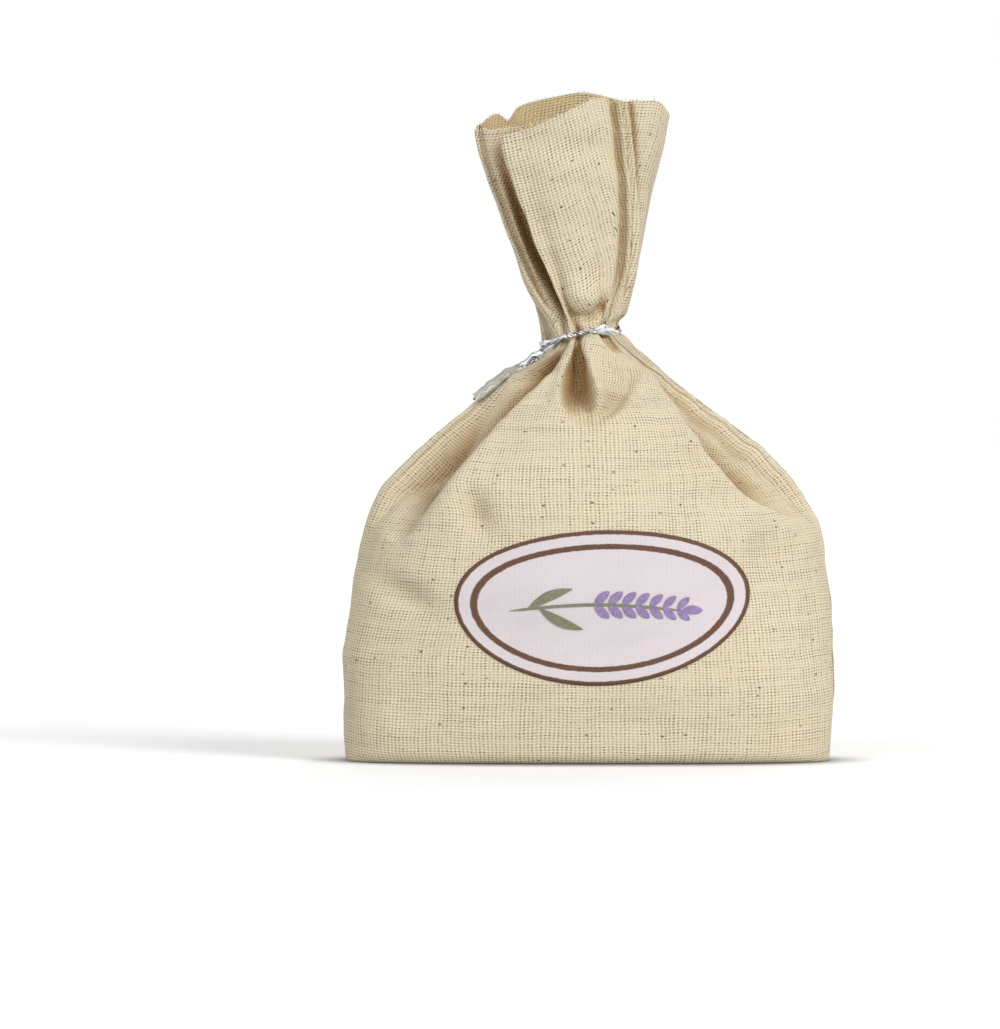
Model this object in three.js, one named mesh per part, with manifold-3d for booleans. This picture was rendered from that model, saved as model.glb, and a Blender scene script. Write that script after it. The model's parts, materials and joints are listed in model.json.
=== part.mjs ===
// Lavender sachet: a filled cloth pouch, gathered at the neck and closed with a wired twist tie.
// Millimetres, +Z up. The origin is on the floor under the middle of the pouch, and the front faces -Y.
// Two cloth panels meet at the side and base seams and hold the dried flowers between them.

import * as THREE from "three";
import { mergeVertices } from "three/addons/utils/BufferGeometryUtils.js";
import Module from "manifold-3d";

const { smoothstep, lerp, degToRad } = THREE.MathUtils;
const wasm = await Module();
wasm.setup();

// Filled pouch: width across the side seams and depth front to back, at each height
const BASE_WIDTH = 99;
const BASE_DEPTH = 39;
const BELLY_HEIGHT = 24;
const BELLY_WIDTH = 100;
const BELLY_DEPTH = 45;
const SHOULDER_HEIGHT = 49;
const SHOULDER_WIDTH = 93;
const SHOULDER_DEPTH = 42;
const SLOPE_HEIGHT = 71;
const SLOPE_WIDTH = 50;
const SLOPE_DEPTH = 29;

// Gathered neck, and the open cloth that flares above it
const NECK_HEIGHT = 88;
const NECK_DIAMETER = 13.4;
const FLARE_HEIGHT = 108;
const FLARE_WIDTH = 27;
const FLARE_DEPTH = 14;
const MOUTH_HEIGHT = 136;
const MOUTH_WIDTH = 36;
const MOUTH_DEPTH = 20;
const MOUTH_LEAN = 3.2; // the open end stands this far to the left of the pouch's middle
const MOUTH_DIP = 9; // the cut edge hangs lowest at the front left
const PACKED_BELOW = 8; // cloth stays packed solid this far below the middle of the tie
const PACKED_ABOVE = 9;

// Pleats that the tie presses into the cloth
const PLEATS = 10;
const SHOULDER_PLEAT = 2.2;
const NECK_PLEAT = 1;
const MOUTH_PLEAT = 1.6;

// Folds that the tie draws down the front, each from its place across the neck to its foot across and up
// the pouch: a valley beside each side seam, steeper towards the belly, and a pocket in the middle
const LEFT_FOLD = { neck: -5, foot: [-42, SHOULDER_HEIGHT], depth: 7, toLeft: 8, toRight: 4.5 };
const RIGHT_FOLD = { neck: 8, foot: [36, SHOULDER_HEIGHT + 2], depth: 5, toLeft: 4, toRight: 7 };
const MIDDLE_FOLD = { neck: -2.6, foot: [-0.4, SLOPE_HEIGHT - 2], depth: 5, toLeft: 3.5, toRight: 3 };
const FOLDS = [LEFT_FOLD, RIGHT_FOLD, MIDDLE_FOLD];
const FOLD_DEEP_FROM = 0.35; // share of the way down where a fold has its full depth
const FOLD_DEEP_TO = 0.7;
const FOLD_END = 1.1; // share of the way down where it has run out
const SEAM_EASE = 0.6; // share of the depth, from a side seam, over which the front's folds ease in

// Cloth, seams and the clearance between pieces that lie against each other
const CLOTH = 0.9;
const SEAM_DIAMETER = 1.8;
const GAP = 0.3;

// Oval label film on the front
const LABEL_WIDTH = 60;
const LABEL_HEIGHT = 32;
const LABEL_FILM = 0.2;
const LABEL_OFFSET = 2.8; // to the right of the pouch's middle
const LABEL_CENTRE_HEIGHT = 31.6;

// Twist tie: two bonded foil strips with a wire along the middle
const TIE_WIDTH = 3.2;
const FOIL = 0.2;
const WIRE_DIAMETER = 0.5;
const WIRE_CLEARANCE = 0.1;
const TIE_TILT = degToRad(12); // the loop rises to the right
const TILT_REACH = 9; // the cloth takes up the tilt over this height below and above the tie
const TWIST_LENGTH = 5;
const TWIST_TURNS = 1.5;
const TAIL_LENGTH = 16;
const TAIL_LIFT = 1.2; // the tails' ends lie this far above the left shoulder
const TAIL_SPREAD = 2.4; // each tail's middle, to the front or the back of the twist
const TAIL_ROLL = degToRad(22); // the tails show their faces to the front
const HINGE_OFFSET = 0.6; // from the end of the twist to the line where the tails bend
const TAIL_OFFSET = 0.3; // from that line to the start of each tail

// Facets
const AROUND = 60;
const RING_STEP = 6;
const LABEL_STEPS = 40;
const LABEL_RINGS = 5;
const LOOP_STEPS = 44;
const TWIST_STEPS = 16;
const TWIST_SIDES = 12;
const TAIL_STEPS = 8;
const WIRE_SIDES = 6;
const SEAM_SIDES = 6;
const BORE_OVERRUN = 0.02; // share of a strip by which its bore's cutter runs past each end

const NECK_LOW = NECK_HEIGHT - TIE_WIDTH / 2;
const NECK_HIGH = NECK_HEIGHT + TIE_WIDTH / 2;

// Half width and half depth at a height, on one cubic through the stations
const STATIONS = [
  [0, BASE_WIDTH, BASE_DEPTH],
  [BELLY_HEIGHT, BELLY_WIDTH, BELLY_DEPTH],
  [SHOULDER_HEIGHT, SHOULDER_WIDTH, SHOULDER_DEPTH],
  [SLOPE_HEIGHT, SLOPE_WIDTH, SLOPE_DEPTH],
  [NECK_LOW, NECK_DIAMETER, NECK_DIAMETER],
  [NECK_HIGH, NECK_DIAMETER, NECK_DIAMETER],
  [FLARE_HEIGHT, FLARE_WIDTH, FLARE_DEPTH],
  [MOUTH_HEIGHT, MOUTH_WIDTH, MOUTH_DEPTH],
];
const profile = new THREE.CubicInterpolant(
  STATIONS.map(([height]) => height),
  STATIONS.flatMap(([, width, depth]) => [width / 2, depth / 2]),
  2,
);

// How far the pleats stand in and out of the plain oval at a height
function pleatDepth(z) {
  if (z < SLOPE_HEIGHT) return SHOULDER_PLEAT * smoothstep(z, SHOULDER_HEIGHT, SLOPE_HEIGHT);
  if (z < NECK_LOW) return lerp(SHOULDER_PLEAT, NECK_PLEAT, smoothstep(z, SLOPE_HEIGHT, NECK_LOW));
  return lerp(NECK_PLEAT, MOUTH_PLEAT, smoothstep(z, NECK_HIGH, MOUTH_HEIGHT));
}

// How far the front's folds stand in from the plain oval, at a place across the front and a height
function foldDepth(x, z) {
  return FOLDS.reduce((sum, { neck, foot, depth, toLeft, toRight }) => {
    const down = (NECK_LOW - z) / (NECK_LOW - foot[1]);
    const run = new THREE.Vector2(foot[0] - neck, NECK_LOW - foot[1]).normalize();
    const away = (x - lerp(neck, foot[0], down)) * run.y;
    const across = Math.exp(-((away / (away < 0 ? toLeft : toRight)) ** 2));
    const along = smoothstep(down, 0, FOLD_DEEP_FROM) * (1 - smoothstep(down, FOLD_DEEP_TO, FOLD_END));
    return sum + depth * across * along;
  }, 0);
}

// The pouch's middle leans to the left above the shoulders
function centreAt(z) {
  return -MOUTH_LEAN * smoothstep(z, SHOULDER_HEIGHT, MOUTH_HEIGHT);
}

// A point of the cloth's outside, or of a surface inset from it, at a height and an angle from the right seam
function clothPoint(z, angle, inset = 0) {
  const [halfWidth, halfDepth] = profile.evaluate(z);
  const cos = Math.cos(angle);
  const sin = Math.sin(angle);
  const out = new THREE.Vector2(cos / halfWidth, sin / halfDepth).normalize();
  const front = smoothstep(-sin, 0, SEAM_EASE);
  const pleated = lerp(1 - front, 1, smoothstep(z, SLOPE_HEIGHT, NECK_LOW));
  const pleat = pleatDepth(z) * Math.cos(PLEATS * angle) * pleated;
  const stand = pleat - front * foldDepth(centreAt(z) + halfWidth * cos, z);
  const x = (halfWidth - inset) * cos + stand * out.x;
  const y = (halfDepth - inset) * sin + stand * out.y;
  const below = smoothstep(z, NECK_LOW - TILT_REACH, NECK_LOW);
  const above = smoothstep(z, NECK_HIGH, NECK_HIGH + TILT_REACH);
  const rise = Math.tan(TIE_TILT) * x * (below - above);
  const dip = (MOUTH_DIP * smoothstep(z, FLARE_HEIGHT, MOUTH_HEIGHT) * (1 - sin) * (1 - cos)) / 4;
  return new THREE.Vector3(centreAt(z) + x, y, z + rise - dip);
}

function clothRing(z, inset = 0) {
  return Array.from({ length: AROUND }, (_, i) => clothPoint(z, (2 * Math.PI * i) / AROUND, inset));
}

// Heights from the first stop to the last, at most one ring step apart, with a ring at each stop
function heights(...stops) {
  const list = [stops[0]];
  stops.slice(1).forEach((high, k) => {
    const steps = Math.max(2, Math.ceil((high - stops[k]) / RING_STEP));
    for (let i = 1; i <= steps; i++) list.push(lerp(stops[k], high, i / steps));
  });
  return list;
}

function middleOf(points) {
  return points.reduce((sum, p) => sum.add(p), new THREE.Vector3()).divideScalar(points.length);
}

// A closed solid through a stack of rings, each counterclockwise about the way that the stack runs
function loft(rings) {
  const count = rings[0].length;
  const points = [...rings.flat(), middleOf(rings[0]), middleOf(rings.at(-1))];
  const last = (rings.length - 1) * count;
  const firstMiddle = points.length - 2;
  const lastMiddle = points.length - 1;
  const index = [];
  for (let i = 0; i < count; i++) {
    const next = (i + 1) % count;
    for (let row = 0; row < last; row += count) {
      index.push(row + i, row + next, row + count + next);
      index.push(row + i, row + count + next, row + count + i);
    }
    index.push(firstMiddle, next, i);
    index.push(lastMiddle, last + i, last + next);
  }
  return new THREE.BufferGeometry().setFromPoints(points).setIndex(index);
}

// Rings of a flat outline carried along a path: frameAt gives each ring's middle and its two axes
function sweep(steps, frameAt, outlineAt) {
  const rings = [];
  for (let i = 0; i <= steps; i++) {
    const { middle, across, up } = frameAt(i / steps);
    const place = ([u, v]) => middle.clone().addScaledVector(across, u).addScaledVector(up, v);
    rings.push(outlineAt(i / steps).map(place));
  }
  return loft(rings);
}

function circle(radius, sides, centre = [0, 0]) {
  return Array.from({ length: sides }, (_, i) => {
    const angle = (2 * Math.PI * i) / sides;
    return [centre[0] + radius * Math.cos(angle), centre[1] + radius * Math.sin(angle)];
  });
}

function solidOf(geometry) {
  const bare = geometry.clone();
  bare.deleteAttribute("normal");
  bare.deleteAttribute("uv");
  const merged = mergeVertices(bare);
  const vertProperties = new Float32Array(merged.getAttribute("position").array);
  const triVerts = new Uint32Array(merged.index.array);
  return new wasm.Manifold(new wasm.Mesh({ numProp: 3, vertProperties, triVerts }));
}

function geometryOf(solid) {
  const { vertProperties, triVerts } = solid.getMesh();
  const geometry = new THREE.BufferGeometry();
  geometry.setAttribute("position", new THREE.BufferAttribute(vertProperties, 3));
  geometry.setIndex(new THREE.BufferAttribute(triVerts, 1));
  geometry.computeVertexNormals();
  return geometry;
}

// Materials
function finish(color, roughness, metalness = 0) {
  return new THREE.MeshStandardMaterial({ color, roughness, metalness });
}

const UNBLEACHED_COTTON = finish("#d8c9a6", 0.95);
const SEWN_EDGE = finish("#cdbb92", 0.95);
const DRIED_FLOWERS = finish("#6d6480", 0.9);
const PALE_PRINT = finish("#e9dee0", 0.8);
const SILVER_FOIL = finish("#c9cbd0", 0.22, 0.9);
const STEEL_WIRE = finish("#8d9094", 0.35, 1);

const sachet = new THREE.Group();

function piece(name, geometry, material, parent = sachet) {
  const mesh = new THREE.Mesh(geometry, material);
  mesh.name = name;
  parent.add(mesh);
  return mesh;
}

// Seams: beads of bound cloth edges inside the pouch, up both sides and across the base
const SEAM_RADIUS = SEAM_DIAMETER / 2;
const SEAM_INSET = CLOTH + GAP + SEAM_RADIUS;
const SEAM_FOOT = SEAM_INSET + SEAM_DIAMETER + GAP; // the side seams start above the base seam

// room is the clearance left all round the bead where other pieces make way for it
function sideSeam(angle, room = 0) {
  const levels = heights(SEAM_FOOT - room, NECK_LOW, NECK_HIGH, MOUTH_HEIGHT - GAP + room);
  const frameAt = (t) => ({
    middle: clothPoint(levels[Math.round(t * (levels.length - 1))], angle, SEAM_INSET),
    across: new THREE.Vector3(1, 0, 0),
    up: new THREE.Vector3(0, 1, 0),
  });
  return sweep(levels.length - 1, frameAt, () => circle(SEAM_RADIUS + room, SEAM_SIDES));
}

function baseSeam(room = 0) {
  const reach = BASE_WIDTH / 2 - SEAM_INSET - SEAM_RADIUS + room;
  const frameAt = (t) => ({
    middle: new THREE.Vector3(lerp(-reach, reach, t), 0, SEAM_INSET),
    across: new THREE.Vector3(0, 1, 0),
    up: new THREE.Vector3(0, 0, 1),
  });
  return sweep(1, frameAt, () => circle(SEAM_RADIUS + room, SEAM_SIDES));
}

const RIGHT = 0;
const LEFT = Math.PI;
piece("right_seam", sideSeam(RIGHT), SEWN_EDGE);
piece("left_seam", sideSeam(LEFT), SEWN_EDGE);
piece("base_seam", baseSeam(), SEWN_EDGE);

// The space that other pieces leave free round all three seams
function seamSpace(room) {
  const beads = [sideSeam(RIGHT, room), sideSeam(LEFT, room), baseSeam(room)].map(solidOf);
  return beads.reduce((joined, bead) => joined.add(bead));
}

// Cloth: one hollow wall, packed solid through the neck, parted along the seams into a front and a back panel
const PACKED_LOW = NECK_HEIGHT - PACKED_BELOW;
const PACKED_HIGH = NECK_HEIGHT + PACKED_ABOVE;
const POUCH_LEVELS = heights(RING_STEP / 2, PACKED_LOW - RING_STEP / 2);
const MOUTH_LEVELS = heights(PACKED_HIGH, MOUTH_HEIGHT);

function clothWall() {
  const levels = [0, ...POUCH_LEVELS, ...heights(PACKED_LOW, NECK_LOW, NECK_HIGH), ...MOUTH_LEVELS];
  const outside = loft(levels.map((z) => clothRing(z)));
  const hollow = loft([CLOTH, ...POUCH_LEVELS, PACKED_LOW].map((z) => clothRing(z, CLOTH)));
  const mouthRings = MOUTH_LEVELS.map((z) => clothRing(z, CLOTH));
  const lifted = mouthRings.at(-1).map((p) => p.clone().setZ(p.z + MOUTH_DIP));
  const mouth = loft([...mouthRings, lifted]);
  return solidOf(outside).subtract(solidOf(hollow)).subtract(solidOf(mouth)).subtract(seamSpace(GAP));
}

// Everything on one side of the seams: side is -1 for the front and 1 for the back
function halfSpace(side) {
  const size = 2 * (MOUTH_HEIGHT + BELLY_WIDTH);
  const box = new THREE.BoxGeometry(size, size, size);
  box.translate(0, (side * (size + GAP)) / 2, 0);
  return solidOf(box);
}

const wall = clothWall();
piece("front_panel", geometryOf(wall.intersect(halfSpace(-1))), UNBLEACHED_COTTON);
piece("back_panel", geometryOf(wall.intersect(halfSpace(1))), UNBLEACHED_COTTON);

// Dried flowers fill the pouch up to the packed neck
const FILL_INSET = CLOTH + GAP;
const fill = loft([FILL_INSET, ...POUCH_LEVELS, PACKED_LOW - GAP].map((z) => clothRing(z, FILL_INSET)));
piece("lavender_fill", geometryOf(solidOf(fill).subtract(seamSpace(GAP + SEAM_DIAMETER))), DRIED_FLOWERS);

// Label film: an oval that follows the front of the pouch
function frontPoint(x, z, clearance) {
  const [halfWidth, halfDepth] = profile.evaluate(z);
  const share = (x - centreAt(z)) / (halfWidth + clearance);
  return new THREE.Vector3(x, -(halfDepth + clearance) * Math.sqrt(1 - share * share), z);
}

function labelFilm() {
  const face = (clearance) =>
    Array.from({ length: LABEL_RINGS }, (_, ring) =>
      Array.from({ length: LABEL_STEPS }, (_, i) => {
        const angle = (2 * Math.PI * i) / LABEL_STEPS;
        const reach = (ring + 1) / LABEL_RINGS / 2;
        const x = LABEL_OFFSET + LABEL_WIDTH * reach * Math.cos(angle);
        return frontPoint(x, LABEL_CENTRE_HEIGHT + LABEL_HEIGHT * reach * Math.sin(angle), clearance);
      }),
    );
  return loft([...face(GAP), ...face(GAP + LABEL_FILM).reverse()]);
}

piece("oval_label", labelFilm(), PALE_PRINT);

// Twist tie: the strip's outline, with the wire's ridge on the side away from the cloth
const STRIP = 2 * FOIL;
const WIRE_RADIUS = WIRE_DIAMETER / 2;
const BORE_RADIUS = WIRE_RADIUS + WIRE_CLEARANCE;
const RIDGE_HEIGHT = 2 * (BORE_RADIUS + FOIL);
const RIDGE_FOOT = BORE_RADIUS + STRIP;
const WIRE_MIDDLE = [0, RIDGE_HEIGHT / 2];

const STRIP_OUTLINE = [
  [-TIE_WIDTH / 2, 0],
  [TIE_WIDTH / 2, 0],
  [TIE_WIDTH / 2, STRIP],
  [RIDGE_FOOT, STRIP],
  [BORE_RADIUS, RIDGE_HEIGHT],
  [-BORE_RADIUS, RIDGE_HEIGHT],
  [-RIDGE_FOOT, STRIP],
  [-TIE_WIDTH / 2, STRIP],
];

// A foil strip with its bore open at both cut ends, and the wire that lies in it
function wiredStrip(name, steps, frameAt, parent) {
  const past = (t) => frameAt(lerp(-BORE_OVERRUN, 1 + BORE_OVERRUN, t));
  const strip = sweep(steps, frameAt, () => STRIP_OUTLINE);
  const bore = sweep(steps, past, () => circle(BORE_RADIUS, WIRE_SIDES, WIRE_MIDDLE));
  piece(name, geometryOf(solidOf(strip).subtract(solidOf(bore))), SILVER_FOIL, parent);
  const wire = sweep(steps, frameAt, () => circle(WIRE_RADIUS, WIRE_SIDES, WIRE_MIDDLE));
  piece(`${name}_wire`, wire, STEEL_WIRE, parent);
}

// Loop round the neck, in a frame that leans with the tie and has the twist at its left
const tie = new THREE.Group();
tie.position.set(centreAt(NECK_HEIGHT), 0, NECK_HEIGHT);
tie.rotation.y = -TIE_TILT;
sachet.add(tie);

const NECK_RADIUS = NECK_DIAMETER / 2 + NECK_PLEAT;
const LOOP_RADIUS = NECK_RADIUS / Math.cos(TIE_TILT) + (TIE_WIDTH / 2) * Math.tan(TIE_TILT) + GAP;
const TWIST_RADIUS = RIDGE_HEIGHT;
const LOOP_PARTING = (TWIST_RADIUS + GAP) / LOOP_RADIUS; // half angle left open for the twist

function loopFrame(t) {
  const angle = lerp(LOOP_PARTING, 2 * Math.PI - LOOP_PARTING, t) + LEFT;
  const up = new THREE.Vector3(Math.cos(angle), Math.sin(angle), 0);
  return { middle: up.clone().multiplyScalar(LOOP_RADIUS), across: new THREE.Vector3(0, 0, 1), up };
}

wiredStrip("tie_loop", LOOP_STEPS, loopFrame, tie);

// Twist and tails run down the left shoulder from the loop
tie.updateMatrixWorld(true);
const TWIST_START = tie.localToWorld(new THREE.Vector3(-LOOP_RADIUS - TWIST_RADIUS, 0, 0));
const tailRest = clothPoint(SLOPE_HEIGHT, LEFT).add(new THREE.Vector3(0, 0, TAIL_LIFT));
const DOWN_SLOPE = tailRest.sub(TWIST_START).normalize();
const SLOPE_UP = new THREE.Vector3(DOWN_SLOPE.z, 0, -DOWN_SLOPE.x);
const TO_FRONT = new THREE.Vector3(0, -1, 0);
const TWIST_END = TWIST_START.clone().addScaledVector(DOWN_SLOPE, TWIST_LENGTH);
const TAIL_HINGE = TWIST_END.clone().addScaledVector(DOWN_SLOPE, HINGE_OFFSET);

function twistOutline(t) {
  const turn = 2 * Math.PI * TWIST_TURNS * t;
  return circle(1, TWIST_SIDES).map(([u, v]) => {
    const [long, short] = [u * TWIST_RADIUS, (v * TWIST_RADIUS * (1 + u * u)) / 3];
    return [long * Math.cos(turn) - short * Math.sin(turn), long * Math.sin(turn) + short * Math.cos(turn)];
  });
}

function twistFrame(t) {
  return { middle: TWIST_START.clone().lerp(TWIST_END, t), across: TO_FRONT, up: SLOPE_UP };
}

piece("tie_twist", sweep(TWIST_STEPS, twistFrame, twistOutline), SILVER_FOIL);

// The tail's middle stands this far to the front of the twist, or behind it where the value is negative
function tail(name, toFront) {
  const across = TO_FRONT.clone().applyAxisAngle(DOWN_SLOPE, TAIL_ROLL);
  const up = SLOPE_UP.clone().applyAxisAngle(DOWN_SLOPE, TAIL_ROLL);
  const frameAt = (t) => {
    const middle = TAIL_HINGE.clone().addScaledVector(DOWN_SLOPE, TAIL_OFFSET + TAIL_LENGTH * t);
    middle.addScaledVector(TO_FRONT, toFront);
    return { middle, across, up };
  };
  wiredStrip(name, TAIL_STEPS, frameAt, sachet);
}

tail("front_tail", TAIL_SPREAD);
tail("back_tail", -TAIL_SPREAD);

export default sachet;
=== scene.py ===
"""Lavender sachet: a filled cotton pouch, gathered at the neck and closed with a silver twist tie.

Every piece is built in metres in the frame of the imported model: the origin is on the floor under the
middle of the pouch, +Z is up and the front faces -Y. Shapes are worked out in millimetres as numpy
grids and scaled once, where they go into a mesh.
"""

from __future__ import annotations

import json
import logging
import math
from dataclasses import dataclass
from enum import Enum
from functools import partial
from typing import Any

import bpy
import numpy as np
from bpy.types import Material, Modifier, Node, NodeTree, Object
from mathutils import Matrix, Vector
from mathutils.kdtree import KDTree

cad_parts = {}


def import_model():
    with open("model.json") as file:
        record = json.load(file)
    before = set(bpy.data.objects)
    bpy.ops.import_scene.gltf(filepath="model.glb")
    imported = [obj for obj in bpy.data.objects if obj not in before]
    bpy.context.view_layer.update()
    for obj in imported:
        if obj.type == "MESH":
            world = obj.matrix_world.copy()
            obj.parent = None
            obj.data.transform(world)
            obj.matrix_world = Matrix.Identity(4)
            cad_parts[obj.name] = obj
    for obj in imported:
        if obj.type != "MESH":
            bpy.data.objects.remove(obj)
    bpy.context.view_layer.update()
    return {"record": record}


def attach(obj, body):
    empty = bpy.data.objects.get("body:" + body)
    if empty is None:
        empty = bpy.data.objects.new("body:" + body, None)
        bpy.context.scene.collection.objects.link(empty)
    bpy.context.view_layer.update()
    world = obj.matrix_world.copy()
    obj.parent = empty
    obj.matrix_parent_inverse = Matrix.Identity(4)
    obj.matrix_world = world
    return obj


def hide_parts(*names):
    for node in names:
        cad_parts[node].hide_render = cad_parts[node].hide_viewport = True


log = logging.getLogger("sachet")

MM = 0.001
BACKWARDS = np.array([0.0, 1.0, 0.0])
# Prints start flat at this y and are pressed back onto the cloth
PRESS_FROM = -60.0
# Each tube of a piece lies this far along from the last one on its map
TUBE_SHIFT = 7.0


class Body(str, Enum):
    """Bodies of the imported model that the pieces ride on."""

    SACHET = "sachet"
    TIE = "tie"
    FRONT_TAIL = "front_tail"
    BACK_TAIL = "back_tail"


class Slot(str, Enum):
    """Material slots of the record."""

    COTTON = "cotton"
    SEAM = "seam"
    FLOWERS = "flowers"
    PRINT = "print"
    FOIL = "foil"
    WIRE = "wire"


# Curves and grids


def smoothstep(values: np.ndarray, low: float, high: float) -> np.ndarray:
    """Ease from 0 at low to 1 at high, flat at both ends.

    Args:
        values: where to read the curve.
        low: value that gives 0.
        high: value that gives 1.

    Returns:
        3t^2 - 2t^3 of the clamped share t.
    """
    share = np.clip((values - low) / (high - low), 0.0, 1.0)
    return share * share * (3.0 - 2.0 * share)


def window(values: np.ndarray, up: tuple[float, float], down: tuple[float, float]) -> np.ndarray:
    """Ease from 0 to 1 between the two values of up, and back to 0 between those of down."""
    return smoothstep(values, *up) * (1.0 - smoothstep(values, *down))


def through(values: np.ndarray, stations: np.ndarray, heights: np.ndarray) -> np.ndarray:
    """Read one smooth curve through given stations.

    Between two stations the curve is a cubic whose end slopes are those of the chords to the
    stations on either side.

    Args:
        values: where to read the curve.
        stations: increasing positions.
        heights: the curve's value at each station, with any number of trailing axes.

    Returns:
        The curve's values, one per entry of values.
    """
    slopes = np.gradient(heights, stations, axis=0)
    index = np.clip(np.searchsorted(stations, values) - 1, 0, len(stations) - 2)
    span = stations[index + 1] - stations[index]
    extra = (slice(None),) + (None,) * (heights.ndim - 1)
    step = span[extra]
    t = ((values - stations[index]) / span)[extra]
    start, end = heights[index], heights[index + 1]
    rise, fall = slopes[index] * step, slopes[index + 1] * step
    return (
        start * (1 + 2 * t) * (1 - t) ** 2
        + rise * t * (1 - t) ** 2
        + end * t * t * (3 - 2 * t)
        + fall * t * t * (t - 1)
    )


def through_loop(shares: np.ndarray, stations: np.ndarray, points: np.ndarray) -> np.ndarray:
    """Read a closed smooth curve through stations given as shares of one turn.

    Args:
        shares: where to read the curve, in turns.
        stations: increasing shares from 0 to below 1.
        points: the curve's points at the stations.

    Returns:
        One point per share.
    """
    wrapped = np.concatenate([stations[-3:] - 1.0, stations, stations[:3] + 1.0])
    ring = np.concatenate([points[-3:], points, points[:3]])
    return through(np.mod(shares, 1.0), wrapped, ring)


def ripple(first: np.ndarray, second: np.ndarray, wave: float, seed: int) -> np.ndarray:
    """Soft unevenness over two coordinates: a sum of crossing sine waves with settled phases.

    Args:
        first: first coordinate.
        second: second coordinate.
        wave: main wave length in the coordinates' unit.
        seed: picks the directions and phases.

    Returns:
        Values between about -1 and 1.
    """
    waves = 7
    rng = np.random.default_rng(seed)
    turns = rng.uniform(0, math.tau, waves)
    phases = rng.uniform(0, math.tau, waves)
    scales = rng.uniform(0.6, 1.7, waves)
    total = np.zeros(np.broadcast(first, second).shape)
    for turn, phase, scale in zip(turns, phases, scales):
        along = first * math.cos(turn) + second * math.sin(turn)
        total += np.sin(along * math.tau * scale / wave + phase)
    return total / 4.0


def run_length(points: np.ndarray, axis: int) -> np.ndarray:
    """Length walked from the first point along one axis of a path or grid.

    Args:
        points: path or grid of points.
        axis: the axis to walk along.

    Returns:
        Lengths, one per point.
    """
    step = np.linalg.norm(np.diff(points, axis=axis), axis=-1)
    start = np.zeros_like(np.take(step, [0], axis=axis))
    return np.concatenate([start, np.cumsum(step, axis=axis)], axis=axis)


def unit(vectors: np.ndarray) -> np.ndarray:
    """Vectors scaled to length 1; one of no length stays as it is."""
    return vectors / np.maximum(np.linalg.norm(vectors, axis=-1, keepdims=True), 1e-9)


# Meshes


def grid_faces(rows: int, columns: int, closed: bool) -> np.ndarray:
    """Four-sided faces between the points of a grid.

    Args:
        rows: number of rows.
        columns: points in each row.
        closed: whether the last column joins the first.

    Returns:
        Vertex indices, four per face.
    """
    across = np.arange(columns if closed else columns - 1)
    row, column = np.meshgrid(np.arange(rows - 1), across, indexing="ij")
    after = (column + 1) % columns
    low, high = row * columns, (row + 1) * columns
    return np.stack([low + column, low + after, high + after, high + column], axis=-1).reshape(-1, 4)


def make_object(name: str, points: np.ndarray, faces: np.ndarray | list, smooth: bool = True) -> Object:
    """Put points and faces into a new object at the origin.

    Args:
        name: the piece's name.
        points: millimetre points, any grid shape ending in 3.
        faces: vertex indices per face.
        smooth: whether the faces are shaded smooth.

    Returns:
        The linked object.
    """
    mesh = bpy.data.meshes.new(name)
    face_list = faces.tolist() if isinstance(faces, np.ndarray) else faces
    mesh.from_pydata((points.reshape(-1, 3) * MM).tolist(), [], face_list)
    mesh.polygons.foreach_set("use_smooth", np.full(len(mesh.polygons), smooth))
    mesh.update()
    piece = bpy.data.objects.new(name, mesh)
    bpy.context.scene.collection.objects.link(piece)
    return piece


def set_uv(piece: Object, name: str, coordinates: np.ndarray) -> None:
    """Give each vertex's coordinates to its corners as one UV map.

    Args:
        piece: the object.
        name: name of the map.
        coordinates: two numbers per vertex, any grid shape ending in 2.
    """
    mesh = piece.data
    corners = np.empty(len(mesh.loops), dtype=np.int32)
    mesh.loops.foreach_get("vertex_index", corners)
    layer = mesh.uv_layers.new(name=name)
    layer.data.foreach_set("uv", coordinates.reshape(-1, 2)[corners].astype(np.float32).ravel())


def settled_points(piece: Object) -> np.ndarray:
    """Vertex positions in millimetres with the piece's modifiers worked out.

    Args:
        piece: the object.

    Returns:
        One point per vertex.
    """
    depsgraph = bpy.context.evaluated_depsgraph_get()
    mesh = piece.evaluated_get(depsgraph).to_mesh()
    flat = np.empty(len(mesh.vertices) * 3, dtype=np.float32)
    mesh.vertices.foreach_get("co", flat)
    piece.evaluated_get(depsgraph).to_mesh_clear()
    return flat.reshape(-1, 3).astype(float) / MM


def press_onto(piece: Object, target: Object, lift: float) -> None:
    """Move a flat piece straight back onto another piece's surface and keep it there.

    Args:
        piece: the piece, in front of the target.
        target: what it lies on.
        lift: how far it stays off the surface, in millimetres.
    """
    wrap = piece.modifiers.new("press", "SHRINKWRAP")
    wrap.target = target
    wrap.wrap_method = "PROJECT"
    wrap.use_project_y = True
    wrap.use_negative_direction = False
    wrap.use_positive_direction = True
    wrap.offset = lift * MM
    pressed = settled_points(piece)
    piece.modifiers.clear()
    piece.data.vertices.foreach_set("co", (pressed * MM).astype(np.float32).ravel())


def sweep(path: np.ndarray, across: np.ndarray, up: np.ndarray, outline: np.ndarray) -> np.ndarray:
    """Carry an outline along a path: point = path + across * u + up * v.

    Args:
        path: path points, shape (n, 3).
        across: first axis at each path point.
        up: second axis at each path point.
        outline: outline at each path point, shape (n, m, 2).

    Returns:
        Grid of points, shape (n, m, 3).
    """
    return path[:, None] + across[:, None] * outline[..., :1] + up[:, None] * outline[..., 1:]


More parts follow.
